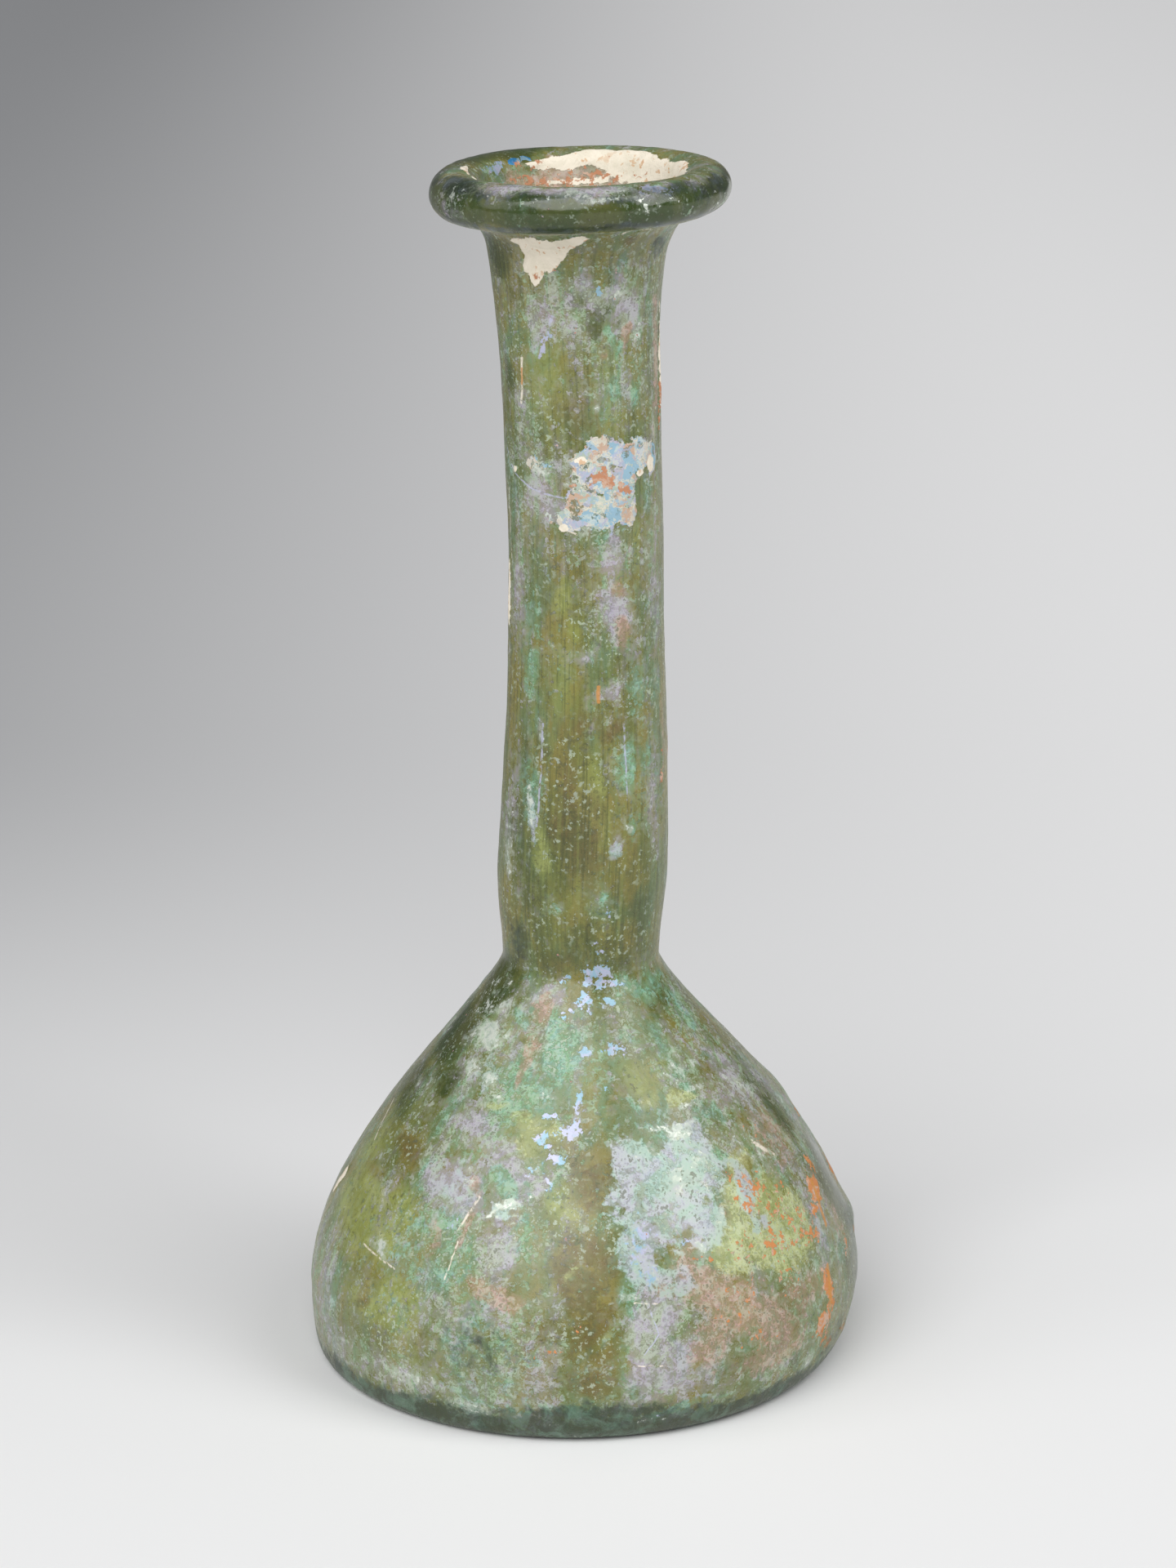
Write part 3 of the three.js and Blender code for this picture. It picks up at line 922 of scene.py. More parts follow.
def relief_of(surface, fields):
    """Height of the skin in mm: a hand-blown waviness, with the crusts standing on it."""

    def edge(name, low, width):
        """0 to 1 as a kind's strength goes from low up by width."""
        return smooth((fields[name] - low) / width)

    wavy = WAVE_RISE * waves(surface.degrees, surface.reach, 21, 16.0)
    pitted = PIT_RISE * waves(surface.degrees, surface.reach, 22, 2.6, 60)
    crust = CREAM_RISE * edge("cream", 0.3, 0.3) + CLAY_RISE * edge("clay", 0.4, 0.3)
    crust = np.maximum(crust, SILVER_RISE * edge("silver", 0.45, 0.3))
    crust = np.maximum(crust, PLATE_RISE * edge("plates", 0.35, 0.2))
    standing = smooth((surface.z - BARE_EDGE_TOP) / BARE_EDGE_WIDTH)
    return np.where(surface.is_outside, (wavy + pitted + crust - SKIN_SETBACK) * standing, 0)


def closed_grid(name, points, centres):
    """A mesh of quads between the rings, with a fan of triangles at each of the two poles."""
    rings, columns = points.shape[:2]
    index = np.arange(rings * columns).reshape(rings, columns)
    turned = np.roll(index, -1, axis=1)
    quads = np.stack([index[:-1], turned[:-1], turned[1:], index[1:]], axis=-1).reshape(-1, 4)
    bottom = rings * columns
    first = np.stack([np.full(columns, bottom), turned[0], index[0]], axis=-1)
    last = np.stack([np.full(columns, bottom + 1), index[-1], turned[-1]], axis=-1)
    mesh = bpy.data.meshes.new(name)
    vertices = np.vstack([points.reshape(-1, 3), centres])
    mesh.from_pydata(vertices.tolist(), [], quads.tolist() + first.tolist() + last.tolist())
    mesh.polygons.foreach_set("use_smooth", np.ones(len(mesh.polygons), bool))
    mesh.update()
    return mesh


def add_value(mesh, name, values):
    """Keeps one number for each vertex on the mesh, with 0 at both poles."""
    flat = np.append(np.asarray(values, np.float32).ravel(), (0, 0)).astype(np.float32)
    mesh.attributes.new(name, "FLOAT", "POINT").data.foreach_set("value", flat)


def add_vector(mesh, name, parts, poles):
    """Keeps one vector for each vertex on the mesh."""
    values = np.stack(np.broadcast_arrays(*parts), axis=-1).astype(np.float32)
    flat = np.vstack([values.reshape(-1, 3), poles]).astype(np.float32)
    mesh.attributes.new(name, "FLOAT_VECTOR", "POINT").data.foreach_set("vector", flat.ravel())


def add_object(name, data):
    """An object in the scene for a mesh, a light or a camera."""
    made = bpy.data.objects.new(name, data)
    bpy.context.scene.collection.objects.link(made)
    return made


def glass_vessel():
    """The flask's whole skin, outside and hollow, as one closed mesh."""
    surface = Skin()
    fields = weathering(surface)
    sand_inside(surface, fields)
    points = surface.places(relief_of(surface, fields))
    x = FOOT_DRIFT * MM
    centres = np.array([(x, 0, KICK_DEPTH * MM), (x, 0, (BASE_THICKNESS + KICK_DEPTH) * MM)])
    mesh = closed_grid("glass_vessel_skin", points, centres)
    for name, values in fields.items():
        add_value(mesh, name, values)
    angle = np.radians(surface.degrees)
    last = surface.reach[-1, 0]
    grain = (GRAIN_RADIUS * np.cos(angle), GRAIN_RADIUS * np.sin(angle), surface.reach)
    add_vector(mesh, "grain", grain, [(0, 0, 0), (0, 0, last)])
    around = np.radians(turn_between(surface.degrees, FRONT)) * surface.radius
    add_vector(mesh, "place", (around, surface.reach, 0.0), [(0, 0, 0), (0, last, 0)])
    return add_object("weathered_glass_vessel", mesh), surface


# Scratches and the pale rims of flakes: degrees and height of both ends, width in mm.
PALE_SCRATCHES = (
    (-133.8, 119.7, -137.8, 114.5, 0.24),
    (-176, 30.5, -168.5, 26.8, 0.22),
    (-122, 18, -121, 22.0, 0.14),
    (-80, 10, -73, 9.6, 0.12),
    (-80, 17, -75, 16.6, 0.12),
    (-118.5, 26.6, -122, 22.8, 0.2),
    (-35, 29.8, -29, 27.4, 0.3),
    (-68, 133.8, -51, 134.6, 0.25),
    (-148, 18.2, -136, 17.4, 0.16),
    (-163, 96, -164, 104, 0.16),
    (-108, 100.8, -96, 100.1, 0.16),
)
BLUE_SCRATCHES = (
    (-107.5, 124.6, -112, 122.4, 0.24),
    (-112, 122.4, -119, 119.9, 0.2),
    (-164, 108.6, -156, 107.0, 0.16),
    (-156, 107.0, -146, 105.8, 0.16),
    (-146, 105.8, -132, 104.9, 0.16),
    (-132, 104.9, -118, 104.4, 0.15),
    (-118, 104.4, -106, 104.2, 0.14),
    (-62, 78, -60, 69, 0.16),
    (-122, 78, -124, 66, 0.2),
    (-77, 16.4, -75, 13.4, 0.12),
    (-75, 13.4, -78, 11.2, 0.12),
)
OCHRE_SCRATCHES = (
    (-81.5, 82.6, -81.3, 80.9, 0.3),
    (-134.8, 118.4, -136.2, 116.6, 0.2),
    (-27, 14.6, -28.4, 10.2, 0.5),
    (-20, 23, -22, 18.6, 0.4),
)


def tint(red, green, blue):
    """A colour as screens give it, 0 to 255, turned into the light that the shader works with."""
    screen = np.array([red, green, blue]) / 255
    light = np.where(screen <= 0.04045, screen / 12.92, ((screen + 0.055) / 1.055) ** 2.4)
    return (*[float(c) for c in light], 1.0)


OLIVE = tint(105, 110, 52)
GOLDEN_OLIVE = tint(132, 123, 60)
SEA_OLIVE = tint(98, 118, 74)
STRAW_GLASS = tint(138, 146, 74)
LIME = tint(166, 174, 104)
RUST_BROWN = tint(110, 90, 52)
COCOA = tint(112, 104, 60)
OCHRE_OLIVE = tint(136, 124, 66)
SAGE_FILM = tint(144, 168, 136)
MINT_FILM = tint(114, 166, 124)
AQUA_FILM = tint(122, 180, 162)
GREY_FILM = tint(164, 170, 154)
LILAC_FILM = tint(178, 168, 190)
ROSE_FILM = tint(166, 140, 112)
MAUVE_FILM = tint(188, 150, 138)
LIME_FILM = tint(200, 204, 142)
PEARL_AQUA = tint(166, 192, 186)
PEARL_LILAC = tint(184, 184, 204)
BOTTLE = tint(62, 82, 42)
MOSS = tint(88, 98, 54)
DEEP_MOSS = tint(72, 80, 40)
SKY = tint(148, 184, 204)
LAVENDER = tint(186, 188, 212)
SILVER_SCALE = tint(176, 190, 178)
PALE_FLECK = tint(192, 206, 184)
PEARL = tint(216, 222, 210)
TERRACOTTA = tint(188, 132, 98)
ORANGE_EARTH = tint(202, 134, 80)
SANDY_PINK = tint(202, 170, 148)
CREAM_CRUST = tint(228, 219, 199)
IVORY = tint(240, 230, 212)
# The painted shade's colours, which also tint the lip's slate band and dark patches of the glass.
NIGHT_GREEN = tint(36, 50, 35)
TEAL = tint(76, 103, 86)
SLATE = tint(78, 92, 96)
PIT_BROWN = tint(74, 76, 42)
COBALT_BLUE = tint(48, 134, 194)
OCHRE = tint(200, 140, 70)

IN_MM = (1000, 1000, 1000)  # from the object's metres
IN_MM_TALL = (1000, 1000, 450)  # for noise that comes out taller than wide
LONG_STREAKS = (1.0, 1.0, 0.07)
SHORT_STREAKS = (1.0, 1.0, 0.12)
FRAY_OFFSET = (31.0, 7.0, 3.0)  # mm, so that one noise is unlike the others
GLASS_IOR = 1.5
BUMP_DEPTH = 0.12  # mm
PLATES_PER_MM = 0.7

# The studio, in metres and watts.
TABLE_REACH = 3.0
NEAR_WHITE = tint(242, 242, 242)
# Painted shade on the table: the back left darkest and the back right a little below the front, in place
# of the lights' falloff.
BACK_LEFT_SHADE = tint(147, 148, 150)
BACK_RIGHT_SHADE = tint(234, 234, 234)
PAPER_TOOTH = 0.1  # mm
SOFTBOX_SIZE = (1.25, 1.75)
SOFTBOX_AIM = (0, 0, 0.07)
LEFT_SOFTBOX = (-1.75, -0.75, 1.25)
LEFT_WATTS = 9.6
RIGHT_SOFTBOX = (1.5, -0.75, 1.5)
RIGHT_WATTS = 23.6
SUN_FROM = (-0.35, -0.95, 0.92)
SUN_STRENGTH = 2.1
SUN_ANGLE = math.radians(50)
SURROUND_GREY = tint(215, 216, 220)
SURROUND_STRENGTH = 0.22


class Shader:
    """Short ways to wire the nodes of one material; most give back an output socket."""

    def __init__(self, name):
        self.material = bpy.data.materials.new(name)
        self.material.use_nodes = True
        self.tree = self.material.node_tree
        self.tree.nodes.clear()
        self.strokes = None

    def node(self, kind, inputs, **settings):
        made = self.tree.nodes.new(kind)
        for name, value in settings.items():
            setattr(made, name, value)
        for socket, value in inputs.items():
            if isinstance(value, bpy.types.NodeSocket):
                self.tree.links.new(value, made.inputs[socket])
            else:
                made.inputs[socket].default_value = value
        return made

    def math(self, operation, *values):
        return self.node("ShaderNodeMath", dict(enumerate(values)), operation=operation).outputs[0]

    def times(self, first, second):
        return self.math("MULTIPLY", first, second)

    def most(self, first, second):
        return self.math("MAXIMUM", first, second)

    def less(self, first, second):
        return self.math("SUBTRACT", first, second)

    def shifted(self, noise, amount, base):
        """A base raised and lowered by noise, which swings round 0.5, times an amount."""
        return self.math("MULTIPLY_ADD", self.less(noise, 0.5), amount, base)

    def vector_math(self, operation, *values):
        return self.node("ShaderNodeVectorMath", dict(enumerate(values)), operation=operation)

    def moved(self, vector, offset):
        return self.vector_math("ADD", vector, offset).outputs[0]

    def scaled(self, vector, amount):
        inputs = {0: vector, "Scale": amount}
        return self.node("ShaderNodeVectorMath", inputs, operation="SCALE").outputs[0]

    def warped(self, vector, size, amount):
        """Offsets in three directions from colourful noise with features of a size in mm."""
        inputs = {"Vector": vector, "Scale": 1 / size, "Detail": 4.0, "Roughness": 0.6}
        colours = self.node("ShaderNodeTexNoise", inputs).outputs[1]
        centred = self.vector_math("SUBTRACT", colours, (0.5, 0.5, 0.5)).outputs[0]
        return self.scaled(centred, amount)

    def number(self, name):
        return self.node("ShaderNodeAttribute", {}, attribute_name=name).outputs["Fac"]

    def vector(self, name):
        return self.node("ShaderNodeAttribute", {}, attribute_name=name).outputs["Vector"]

    def stretched(self, vector, scale):
        """A vector times a scale for each of its axes."""
        inputs = {"Vector": vector, "Scale": scale}
        return self.node("ShaderNodeMapping", inputs, vector_type="POINT").outputs[0]

    def noise(self, vector, size, detail=2.0, roughness=0.5, warp=0.0):
        """Cloudy noise from 0 to 1 with features of a size in mm."""
        inputs = {
            "Vector": vector,
            "Scale": 1 / size,
            "Detail": detail,
            "Roughness": roughness,
            "Distortion": warp,
        }
        return self.node("ShaderNodeTexNoise", inputs).outputs[0]

    def rise(self, value, low, high, bottom=0.0, top=1.0):
        """bottom to top, smoothly, as a value goes from low to high."""
        inputs = {0: value, 1: low, 2: high, 3: bottom, 4: top}
        return self.node("ShaderNodeMapRange", inputs, interpolation_type="SMOOTHSTEP").outputs[0]

    def mixed(self, share, first, second):
        """first to second, two colours, by a share."""
        return self.node("ShaderNodeMix", {0: share, 6: first, 7: second}, data_type="RGBA").outputs[2]

    def blended(self, share, first, second):
        """first to second, two numbers, by a share."""
        return self.node("ShaderNodeMix", {0: share, 2: first, 3: second}, data_type="FLOAT").outputs[0]

    def bump(self, strength, reach, height):
        """The bent normal of a relief that is reach mm deep."""
        inputs = {"Strength": strength, "Distance": reach * MM, "Height": height}
        return self.node("ShaderNodeBump", inputs).outputs[0]

    def finished(self, inputs):
        """The material, with its shader's inputs set."""
        finish = self.node("ShaderNodeBsdfPrincipled", inputs).outputs[0]
        self.node("ShaderNodeOutputMaterial", {"Surface": finish})
        return self.material

    def stroke_group(self):
        """A group: 1 on a line from Start to End, falling to 0 at Width from it."""
        group = bpy.data.node_groups.new("scratch_line", "ShaderNodeTree")
        for name in ("Place", "Start", "End"):
            group.interface.new_socket(name, in_out="INPUT", socket_type="NodeSocketVector")
        group.interface.new_socket("Width", in_out="INPUT", socket_type="NodeSocketFloat")
        group.interface.new_socket("Line", in_out="OUTPUT", socket_type="NodeSocketFloat")
        outer, self.tree = self.tree, group
        given = group.nodes.new("NodeGroupInput").outputs
        result = group.nodes.new("NodeGroupOutput")
        run = self.vector_math("SUBTRACT", given["End"], given["Start"]).outputs[0]
        off = self.vector_math("SUBTRACT", given["Place"], given["Start"]).outputs[0]
        along = self.vector_math("DOT_PRODUCT", off, run).outputs["Value"]
        square = self.vector_math("DOT_PRODUCT", run, run).outputs["Value"]
        share = self.node("ShaderNodeMath", {0: along, 1: square}, operation="DIVIDE", use_clamp=True)
        reached = self.scaled(run, share.outputs[0])
        apart = self.vector_math("SUBTRACT", off, reached).outputs[0]
        distance = self.vector_math("LENGTH", apart).outputs["Value"]
        faded = self.less(1.0, self.math("DIVIDE", distance, given["Width"]))
        group.links.new(self.rise(faded, 0.0, 0.6), result.inputs["Line"])
        self.tree = outer
        return group

    def scratches(self, place, lines, surface):
        """The strongest of a few drawn lines at each place."""
        if self.strokes is None:
            self.strokes = self.stroke_group()
        total = None
        for from_degrees, from_height, to_degrees, to_height, width in lines:
            inputs = {
                "Place": place,
                "Start": (*surface.unrolled(from_degrees, from_height), 0),
                "End": (*surface.unrolled(to_degrees, to_height), 0),
                "Width": width,
            }
            line = self.node("ShaderNodeGroup", inputs, node_tree=self.strokes).outputs[0]
            total = line if total is None else self.most(total, line)
        return total


def weathered_glass(surface):
    """Olive-green glass under a ragged weathering film, with flakes, earth and crust on top."""
    s = Shader("weathered_glass_skin")
    place = s.node("ShaderNodeTexCoord", {}).outputs["Object"]
    solid = s.stretched(place, IN_MM)
    tall = s.stretched(place, IN_MM_TALL)
    grain = s.vector("grain")
    drawn = s.stretched(grain, LONG_STREAKS)
    up = s.node("ShaderNodeSeparateXYZ", {0: solid}).outputs[2]
    on_neck = s.rise(up, 42.0, 54.0)

    clouds = s.noise(tall, 6.0, 5.0, 0.6, 0.5)
    greens = s.noise(tall, 4.0, 6.0, 0.64, 0.4)
    streaks = s.noise(drawn, 0.75, 3.0, 0.6)
    hairs = s.noise(drawn, 0.22, 2.0, 0.6)
    worn = s.noise(tall, 3.6, 5.0, 0.62, 0.4)
    ragged = s.noise(solid, 1.5, 5.0, 0.66, 0.2)
    frayed = s.noise(s.moved(solid, FRAY_OFFSET), 1.1, 5.0, 0.66, 0.3)
    speckle = s.noise(solid, 0.6, 3.0, 0.6)
    hues = s.noise(solid, 3.0, 6.0, 0.66, 0.9)
    tints = s.noise(solid, 1.3, 5.0, 0.66, 0.6)
    scatter = s.noise(solid, 7.0, 3.0, 0.5)

    def over(share, amount, base, top):
        """A colour laid on another by a share of its own strength."""
        return s.mixed(s.times(share, amount), base, top)

    def torn(name, wildness, low, high, noise):
        """Where one field shows, whether weathering, painted shade or a painted highlight: its strength
        with its edge torn by noise.
        """
        bent = s.shifted(noise, wildness, s.number(name))
        return s.rise(bent, low, high)

    # The glass itself, in soft clouds and the streaks of its drawing.
    colour = s.mixed(s.rise(clouds, 0.4, 0.62), OLIVE, GOLDEN_OLIVE)
    colour = over(s.rise(greens, 0.46, 0.62), 0.8, colour, SEA_OLIVE)
    straw = torn("straw", 0.9, 0.15, 0.85, greens)
    colour = over(straw, 0.85, colour, s.mixed(s.rise(hues, 0.42, 0.68), STRAW_GLASS, LIME))
    umber = torn("umber", 0.9, 0.2, 0.9, clouds)
    brown = s.mixed(s.rise(tints, 0.4, 0.65), COCOA, RUST_BROWN)
    colour = over(umber, 0.8, colour, s.mixed(s.rise(hues, 0.5, 0.62), brown, OCHRE_OLIVE))
    clear = torn("clear", 0.7, 0.1, 0.9, ragged)
    colour = over(clear, 0.9, colour, s.mixed(s.rise(clouds, 0.4, 0.6), BOTTLE, MOSS))
    ribbed = s.times(s.blended(on_neck, 0.3, 1.0), s.rise(up, 134.0, 131.0))
    colour = over(s.times(s.rise(streaks, 0.53, 0.62), ribbed), 0.5, colour, DEEP_MOSS)
    colour = over(s.times(s.rise(streaks, 0.47, 0.37), ribbed), 0.28, colour, STRAW_GLASS)
    stained = s.times(s.rise(frayed, 0.56, 0.61), s.rise(scatter, 0.42, 0.6))
    colour = over(stained, 0.6, colour, PIT_BROWN)

    # The colours of the film, which drift as those of a pearl do.
    hue = s.mixed(s.rise(hues, 0.44, 0.54), SAGE_FILM, GREY_FILM)
    hue = over(s.rise(tints, 0.54, 0.6), 0.6, hue, LILAC_FILM)
    hue = over(s.rise(greens, 0.55, 0.62), 0.6, hue, AQUA_FILM)
    rays = s.noise(s.stretched(grain, SHORT_STREAKS), 2.4, 5.0, 0.62, 0.3)
    hue = over(s.rise(rays, 0.53, 0.6), 0.55, hue, LILAC_FILM)
    hue = over(s.rise(rays, 0.46, 0.4), 0.5, hue, MINT_FILM)
    hazy = torn("haze", 1.6, 0.38, 0.66, tints)
    hue = over(hazy, 0.8, hue, s.mixed(s.rise(hues, 0.38, 0.54), GREY_FILM, LILAC_FILM))
    minty = torn("mint", 1.6, 0.3, 0.6, hues)
    hue = over(minty, 0.8, hue, s.mixed(s.rise(tints, 0.42, 0.62), MINT_FILM, AQUA_FILM))
    rosy = torn("rose", 1.2, 0.2, 0.6, tints)
    hue = over(rosy, 0.85, hue, s.mixed(s.rise(tints, 0.4, 0.6), ROSE_FILM, MAUVE_FILM))
    limy = torn("lime", 1.2, 0.25, 0.6, tints)
    hue = over(limy, 0.8, hue, s.mixed(s.rise(hues, 0.4, 0.6), LIME_FILM, LIME))
    nacre = torn("pearl", 1.6, 0.25, 0.55, ragged)
    shell = s.mixed(s.rise(hues, 0.42, 0.6), PEARL_AQUA, PEARL_LILAC)
    hue = over(nacre, 0.8, hue, s.mixed(s.rise(tints, 0.58, 0.72), shell, PEARL))
    silvery = torn("silver", 1.8, 0.5, 0.72, frayed)
    hue = over(silvery, 0.7, hue, s.mixed(s.rise(tints, 0.4, 0.6), SILVER_SCALE, PEARL))

    # The film's cover: a soft veil where it is thin, torn and pitted where it is thick.
    thick = s.number("haze")
    for name in ("mint", "rose", "silver", "lime"):
        thick = s.most(thick, s.number(name))
    bare = s.most(clear, s.times(s.most(umber, straw), 0.6))
    cover = s.less(s.math("MULTIPLY_ADD", thick, 0.3, 0.34), s.times(bare, 0.28))
    cover = s.math("MULTIPLY_ADD", nacre, 0.22, cover)
    stem = s.times(on_neck, s.rise(up, 100.0, 84.0))
    cover = s.less(cover, s.times(stem, 0.16))
    cover = s.shifted(worn, 0.9, cover)
    roughened = s.shifted(ragged, 1.6, cover)
    roughened = s.shifted(speckle, 1.8, roughened)
    film = s.rise(roughened, 0.46, 0.51)
    thicker = s.rise(roughened, 0.62, 0.67)
    thin = s.shifted(frayed, 1.3, cover)
    veil = s.rise(thin, 0.12, 0.5)
    wash = s.math("MULTIPLY_ADD", s.most(thick, nacre), 0.36, 0.24)
    colour = over(veil, wash, colour, hue)
    colour = over(film, 0.62, colour, hue)
    colour = over(thicker, 0.5, colour, s.mixed(0.5, hue, PALE_FLECK))
    eaten = s.times(s.rise(speckle, 0.58, 0.63), s.rise(worn, 0.4, 0.6, 0.5, 1.0))
    colour = over(eaten, 0.6, colour, PIT_BROWN)

    # Loose flakes, in their own places and scattered.
    strewn = s.times(s.rise(speckle, 0.42, 0.37), s.rise(scatter, 0.44, 0.6, 0.2, 1.0))
    colour = over(strewn, 0.6, colour, s.mixed(s.rise(hues, 0.45, 0.58), PALE_FLECK, SILVER_SCALE))
    torn_small = s.blended(0.4, frayed, speckle)
    scaly = torn("silver", 5.0, 0.95, 1.1, torn_small)
    colour = over(scaly, 0.9, colour, s.mixed(s.rise(speckle, 0.4, 0.6), SILVER_SCALE, PEARL))
    azure = torn("azure", 4.6, 0.66, 0.82, torn_small)
    # The flakes' colour, which is also the colour of the painted highlight on the lip.
    flake_and_highlight_colour = s.mixed(s.rise(hues, 0.44, 0.58), SKY, LAVENDER)
    colour = over(azure, 0.9, colour, flake_and_highlight_colour)
    cobalt = torn("cobalt", 1.2, 0.45, 0.52, torn_small)
    colour = over(cobalt, 0.9, colour, s.mixed(s.rise(tints, 0.5, 0.6), COBALT_BLUE, SKY))

    # A thick patch of laminated scale, broken in small plates with pale rims.
    cells = {"Vector": s.moved(solid, s.warped(solid, 1.4, 3.4)), "Scale": PLATES_PER_MM}
    plate = s.node("ShaderNodeTexVoronoi", cells)
    plate_hue = s.node("ShaderNodeSeparateColor", {0: plate.outputs["Color"]}).outputs[0]
    rim = s.node("ShaderNodeTexVoronoi", cells, feature="DISTANCE_TO_EDGE")
    plated = torn("plates", 1.6, 0.42, 0.46, ragged)
    leaf = SILVER_SCALE
    for start, paint in ((0.3, SKY), (0.5, PEARL_LILAC), (0.8, SANDY_PINK)):
        leaf = s.mixed(s.rise(plate_hue, start, start + 0.04), leaf, paint)
    leaf = over(s.rise(tints, 0.52, 0.57), 0.6, leaf, PEARL)
    leaf = over(s.rise(speckle, 0.54, 0.6), 0.5, leaf, SKY)
    leaf = over(s.rise(frayed, 0.57, 0.6), 0.75, leaf, MOSS)
    rims = s.times(s.rise(rim.outputs["Distance"], 0.07, 0.02), s.rise(tints, 0.44, 0.5))
    leaf = over(rims, 0.8, leaf, CREAM_CRUST)
    colour = over(plated, 0.9, colour, leaf)
    colour = over(s.times(azure, plated), 0.6, colour, flake_and_highlight_colour)

    # Earth and crust, which lie on top of everything, with rusty specks in the crust.
    clay = torn("clay", 4.2, 0.66, 0.78, torn_small)
    baked = s.mixed(s.rise(up, 34.0, 40.0), ORANGE_EARTH, TERRACOTTA)
    earth = s.mixed(s.rise(tints, 0.48, 0.6), baked, SANDY_PINK)
    cream = torn("cream", 1.0, 0.42, 0.48, ragged)
    chalk = s.mixed(s.rise(hues, 0.35, 0.6), CREAM_CRUST, IVORY)
    rusty = s.times(s.rise(frayed, 0.58, 0.61), s.rise(scatter, 0.3, 0.5))
    colour = s.mixed(cream, colour, over(rusty, 0.6, chalk, OCHRE))
    colour = s.mixed(clay, colour, earth)

    # Scratches, drawn on the surface laid flat and bent a little.
    unrolled = s.moved(s.vector("place"), s.warped(solid, 1.5, 0.5))
    pale = s.scratches(unrolled, PALE_SCRATCHES, surface)
    cold = s.scratches(unrolled, BLUE_SCRATCHES, surface)
    warm = s.scratches(unrolled, OCHRE_SCRATCHES, surface)
    broken = s.rise(torn_small, 0.42, 0.52)
    colour = over(s.times(cold, broken), 0.75, colour, LAVENDER)
    colour = over(s.times(pale, broken), 0.8, colour, IVORY)
    colour = over(warm, 0.85, colour, OCHRE)

    # Painted shade under the lip and along the foot, and the dark slate and teal patches of the glass,
    # laid on top of the film; the scale breaks through it.
    shade = torn("shade", 1.3, 0.2, 0.75, frayed)
    cool = s.mixed(s.rise(up, 128.0, 132.0), TEAL, SLATE)
    shade_and_dark_glass_colour = s.mixed(s.rise(hues, 0.45, 0.62), NIGHT_GREEN, cool)
    between_scales = s.less(1.0, s.times(scaly, 0.7))
    colour = over(s.times(shade, between_scales), 0.85, colour, shade_and_dark_glass_colour)

    # How glossy, metallic and clear each layer is.
    earthy = s.most(cream, clay)
    crust = s.most(s.times(plated, 0.7), earthy)
    not_crusted = s.less(1.0, crust)
    pearly = s.most(scaly, s.most(azure, plated))
    covered = s.most(film, pearly)
    roughness = s.blended(s.rise(frayed, 0.4, 0.6), 0.26, 0.4)
    for layer, rough in ((covered, 0.44), (clear, 0.16), (earthy, 0.85)):
        roughness = s.blended(layer, roughness, rough)
    shining = s.most(pearly, s.times(nacre, 0.6))
    metallic = s.times(s.times(shining, 0.35), not_crusted)
    seen_through = s.times(s.blended(clear, 0.08, 0.35), not_crusted)
    seen_through = s.times(seen_through, s.less(1.0, covered))

    # The fine relief: each layer's share of the bump's depth.
    height = s.times(crust, 0.8)
    shares = ((covered, 0.3), (frayed, 0.35), (speckle, 0.15), (hairs, 0.1), (rims, s.times(plated, 0.3)))
    for layer, share in shares:
        height = s.math("ADD", height, s.times(layer, share))

    return s.finished({
        "Base Color": colour,
        "Roughness": roughness,
        "Metallic": metallic,
        "Transmission Weight": seen_through,
        "Normal": s.bump(0.6, BUMP_DEPTH, height),
        "IOR": GLASS_IOR,
    })


def pale_floor():
    """A wide plain table top, with painted shade darkening it towards the back left."""
    r = TABLE_REACH
    mesh = bpy.data.meshes.new("table_top")
    mesh.from_pydata([(-r, -r, 0), (r, -r, 0), (r, r, 0), (-r, r, 0)], [], [(0, 1, 2, 3)])
    s = Shader("matt_paper")
    place = s.node("ShaderNodeTexCoord", {}).outputs["Object"]
    across = s.node("ShaderNodeSeparateXYZ", {0: place})
    # Painted shade: darker towards the back, most at the back left, standing in for the lights' falloff.
    back_shade_colour = s.mixed(s.rise(across.outputs[0], -0.22, 0.14), BACK_LEFT_SHADE, BACK_RIGHT_SHADE)
    tooth = s.noise(s.stretched(place, IN_MM), 0.6, 2.0)
    mesh.materials.append(s.finished({
        "Base Color": s.mixed(s.rise(across.outputs[1], -0.08, 0.26), NEAR_WHITE, back_shade_colour),
        "Roughness": 0.8,
        "Normal": s.bump(0.1, PAPER_TOOTH, tooth),
    }))
    add_object("table_top", mesh)


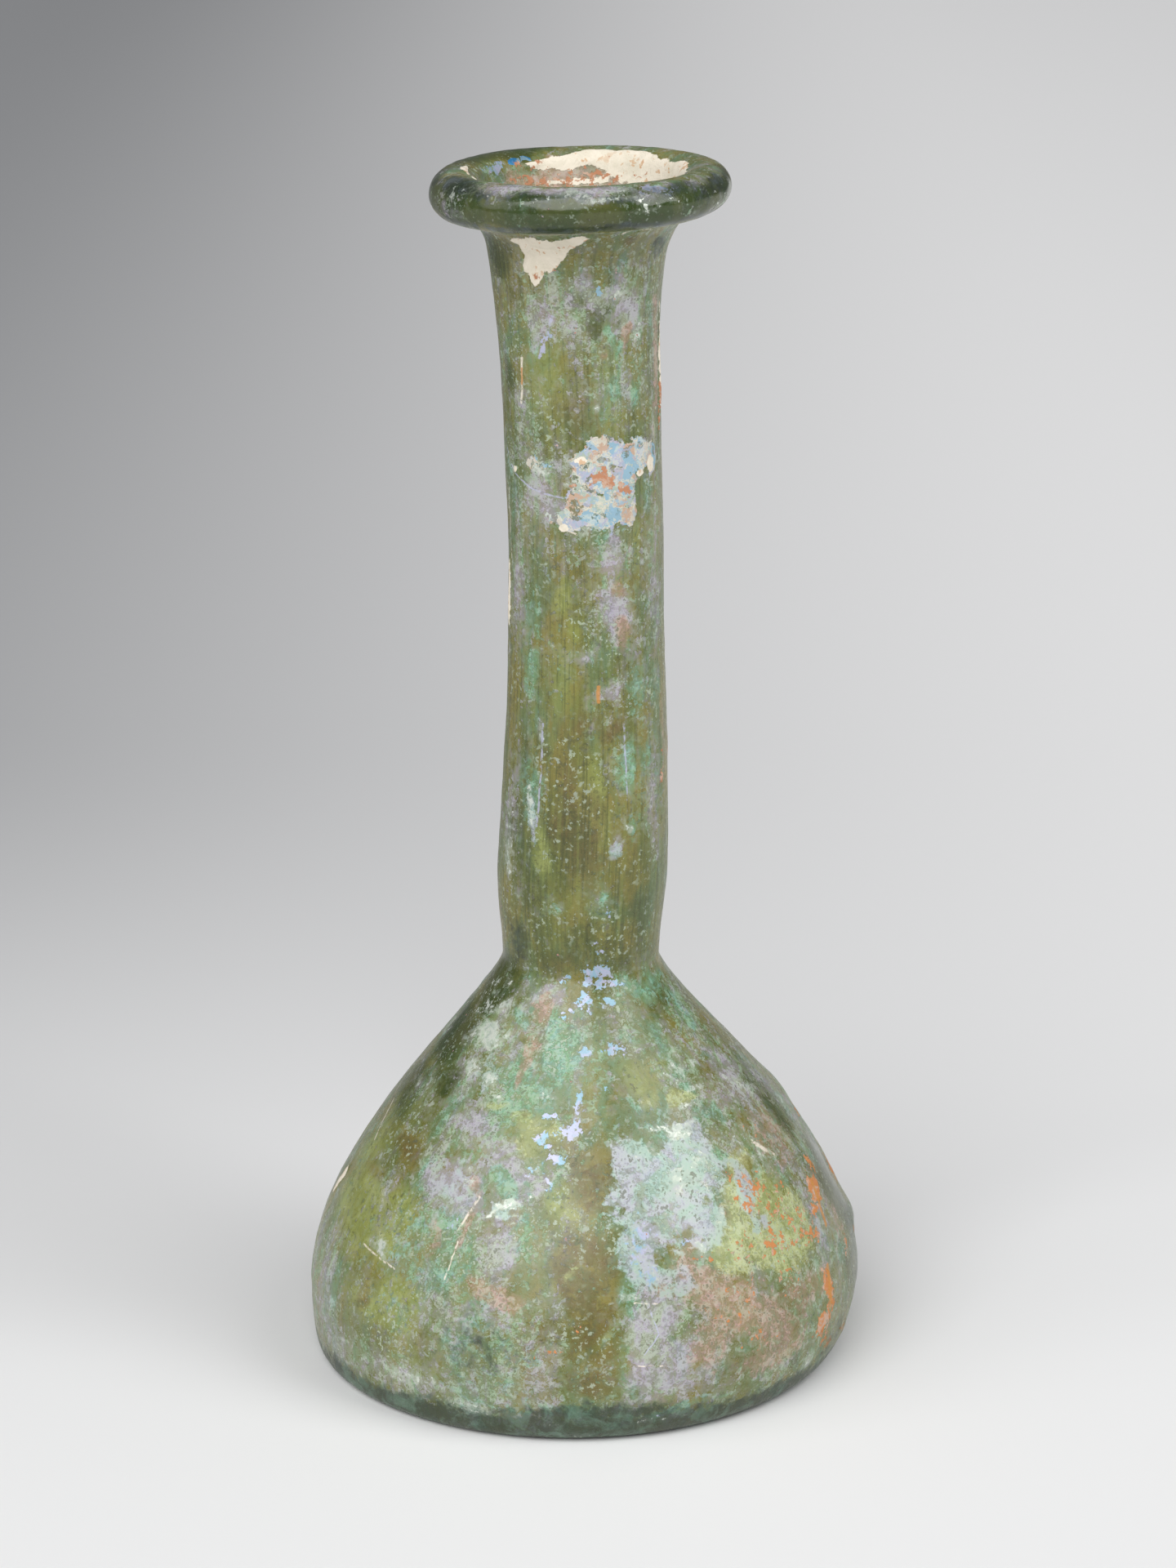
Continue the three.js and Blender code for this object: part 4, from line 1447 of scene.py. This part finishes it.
def look_at(thing, start, end):
    """Puts a camera or light at start, turned so that its -Z axis points at end."""
    start, end = Vector(start), Vector(end)
    turn = (start - end).to_track_quat("Z", "Y").to_matrix().to_4x4()
    thing.matrix_world = Matrix.Translation(start) @ turn


def softbox(name, start, watts):
    light = bpy.data.lights.new(name, "AREA")
    light.shape = "RECTANGLE"
    light.size, light.size_y = SOFTBOX_SIZE
    light.energy = watts
    look_at(add_object(name, light), start, SOFTBOX_AIM)


def studio():
    """Soft light from both sides and above, and a dim grey surround."""
    softbox("left_window", LEFT_SOFTBOX, LEFT_WATTS)
    softbox("right_window", RIGHT_SOFTBOX, RIGHT_WATTS)
    sky = bpy.data.lights.new("soft_sky", "SUN")
    sky.energy = SUN_STRENGTH
    sky.angle = SUN_ANGLE
    look_at(add_object("soft_sky", sky), SUN_FROM, (0, 0, 0))
    world = bpy.data.worlds.new("grey_surround")
    bpy.context.scene.world = world
    world.use_nodes = True
    back = world.node_tree.nodes["Background"]
    back.inputs[0].default_value = SURROUND_GREY
    back.inputs[1].default_value = SURROUND_STRENGTH


CAMERA_PITCH = math.radians(17)
CAMERA_AIM = Vector((0.0005, 0, 0.0685))
CAMERA_DISTANCE = 0.5073
CAMERA_FOCAL_PX = 5400
PHOTO_HEIGHT_PX = 1920


def camera():
    """The photograph's view: from the front, looking down, with a long lens."""
    data = bpy.data.cameras.new("camera")
    data.sensor_fit = "VERTICAL"
    data.sensor_height = 36
    data.lens = data.sensor_height * CAMERA_FOCAL_PX / PHOTO_HEIGHT_PX
    data.clip_start = 0.01
    eye = add_object("camera", data)
    back = Vector((0, -math.cos(CAMERA_PITCH), math.sin(CAMERA_PITCH)))
    look_at(eye, CAMERA_AIM + back * CAMERA_DISTANCE, CAMERA_AIM)
    bpy.context.scene.camera = eye


vessel, skin = glass_vessel()
vessel.data.materials.append(weathered_glass(skin))
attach(vessel, "root")
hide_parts("glass_vessel")
pale_floor()
studio()
camera()
bpy.context.scene.view_settings.view_transform = "Standard"
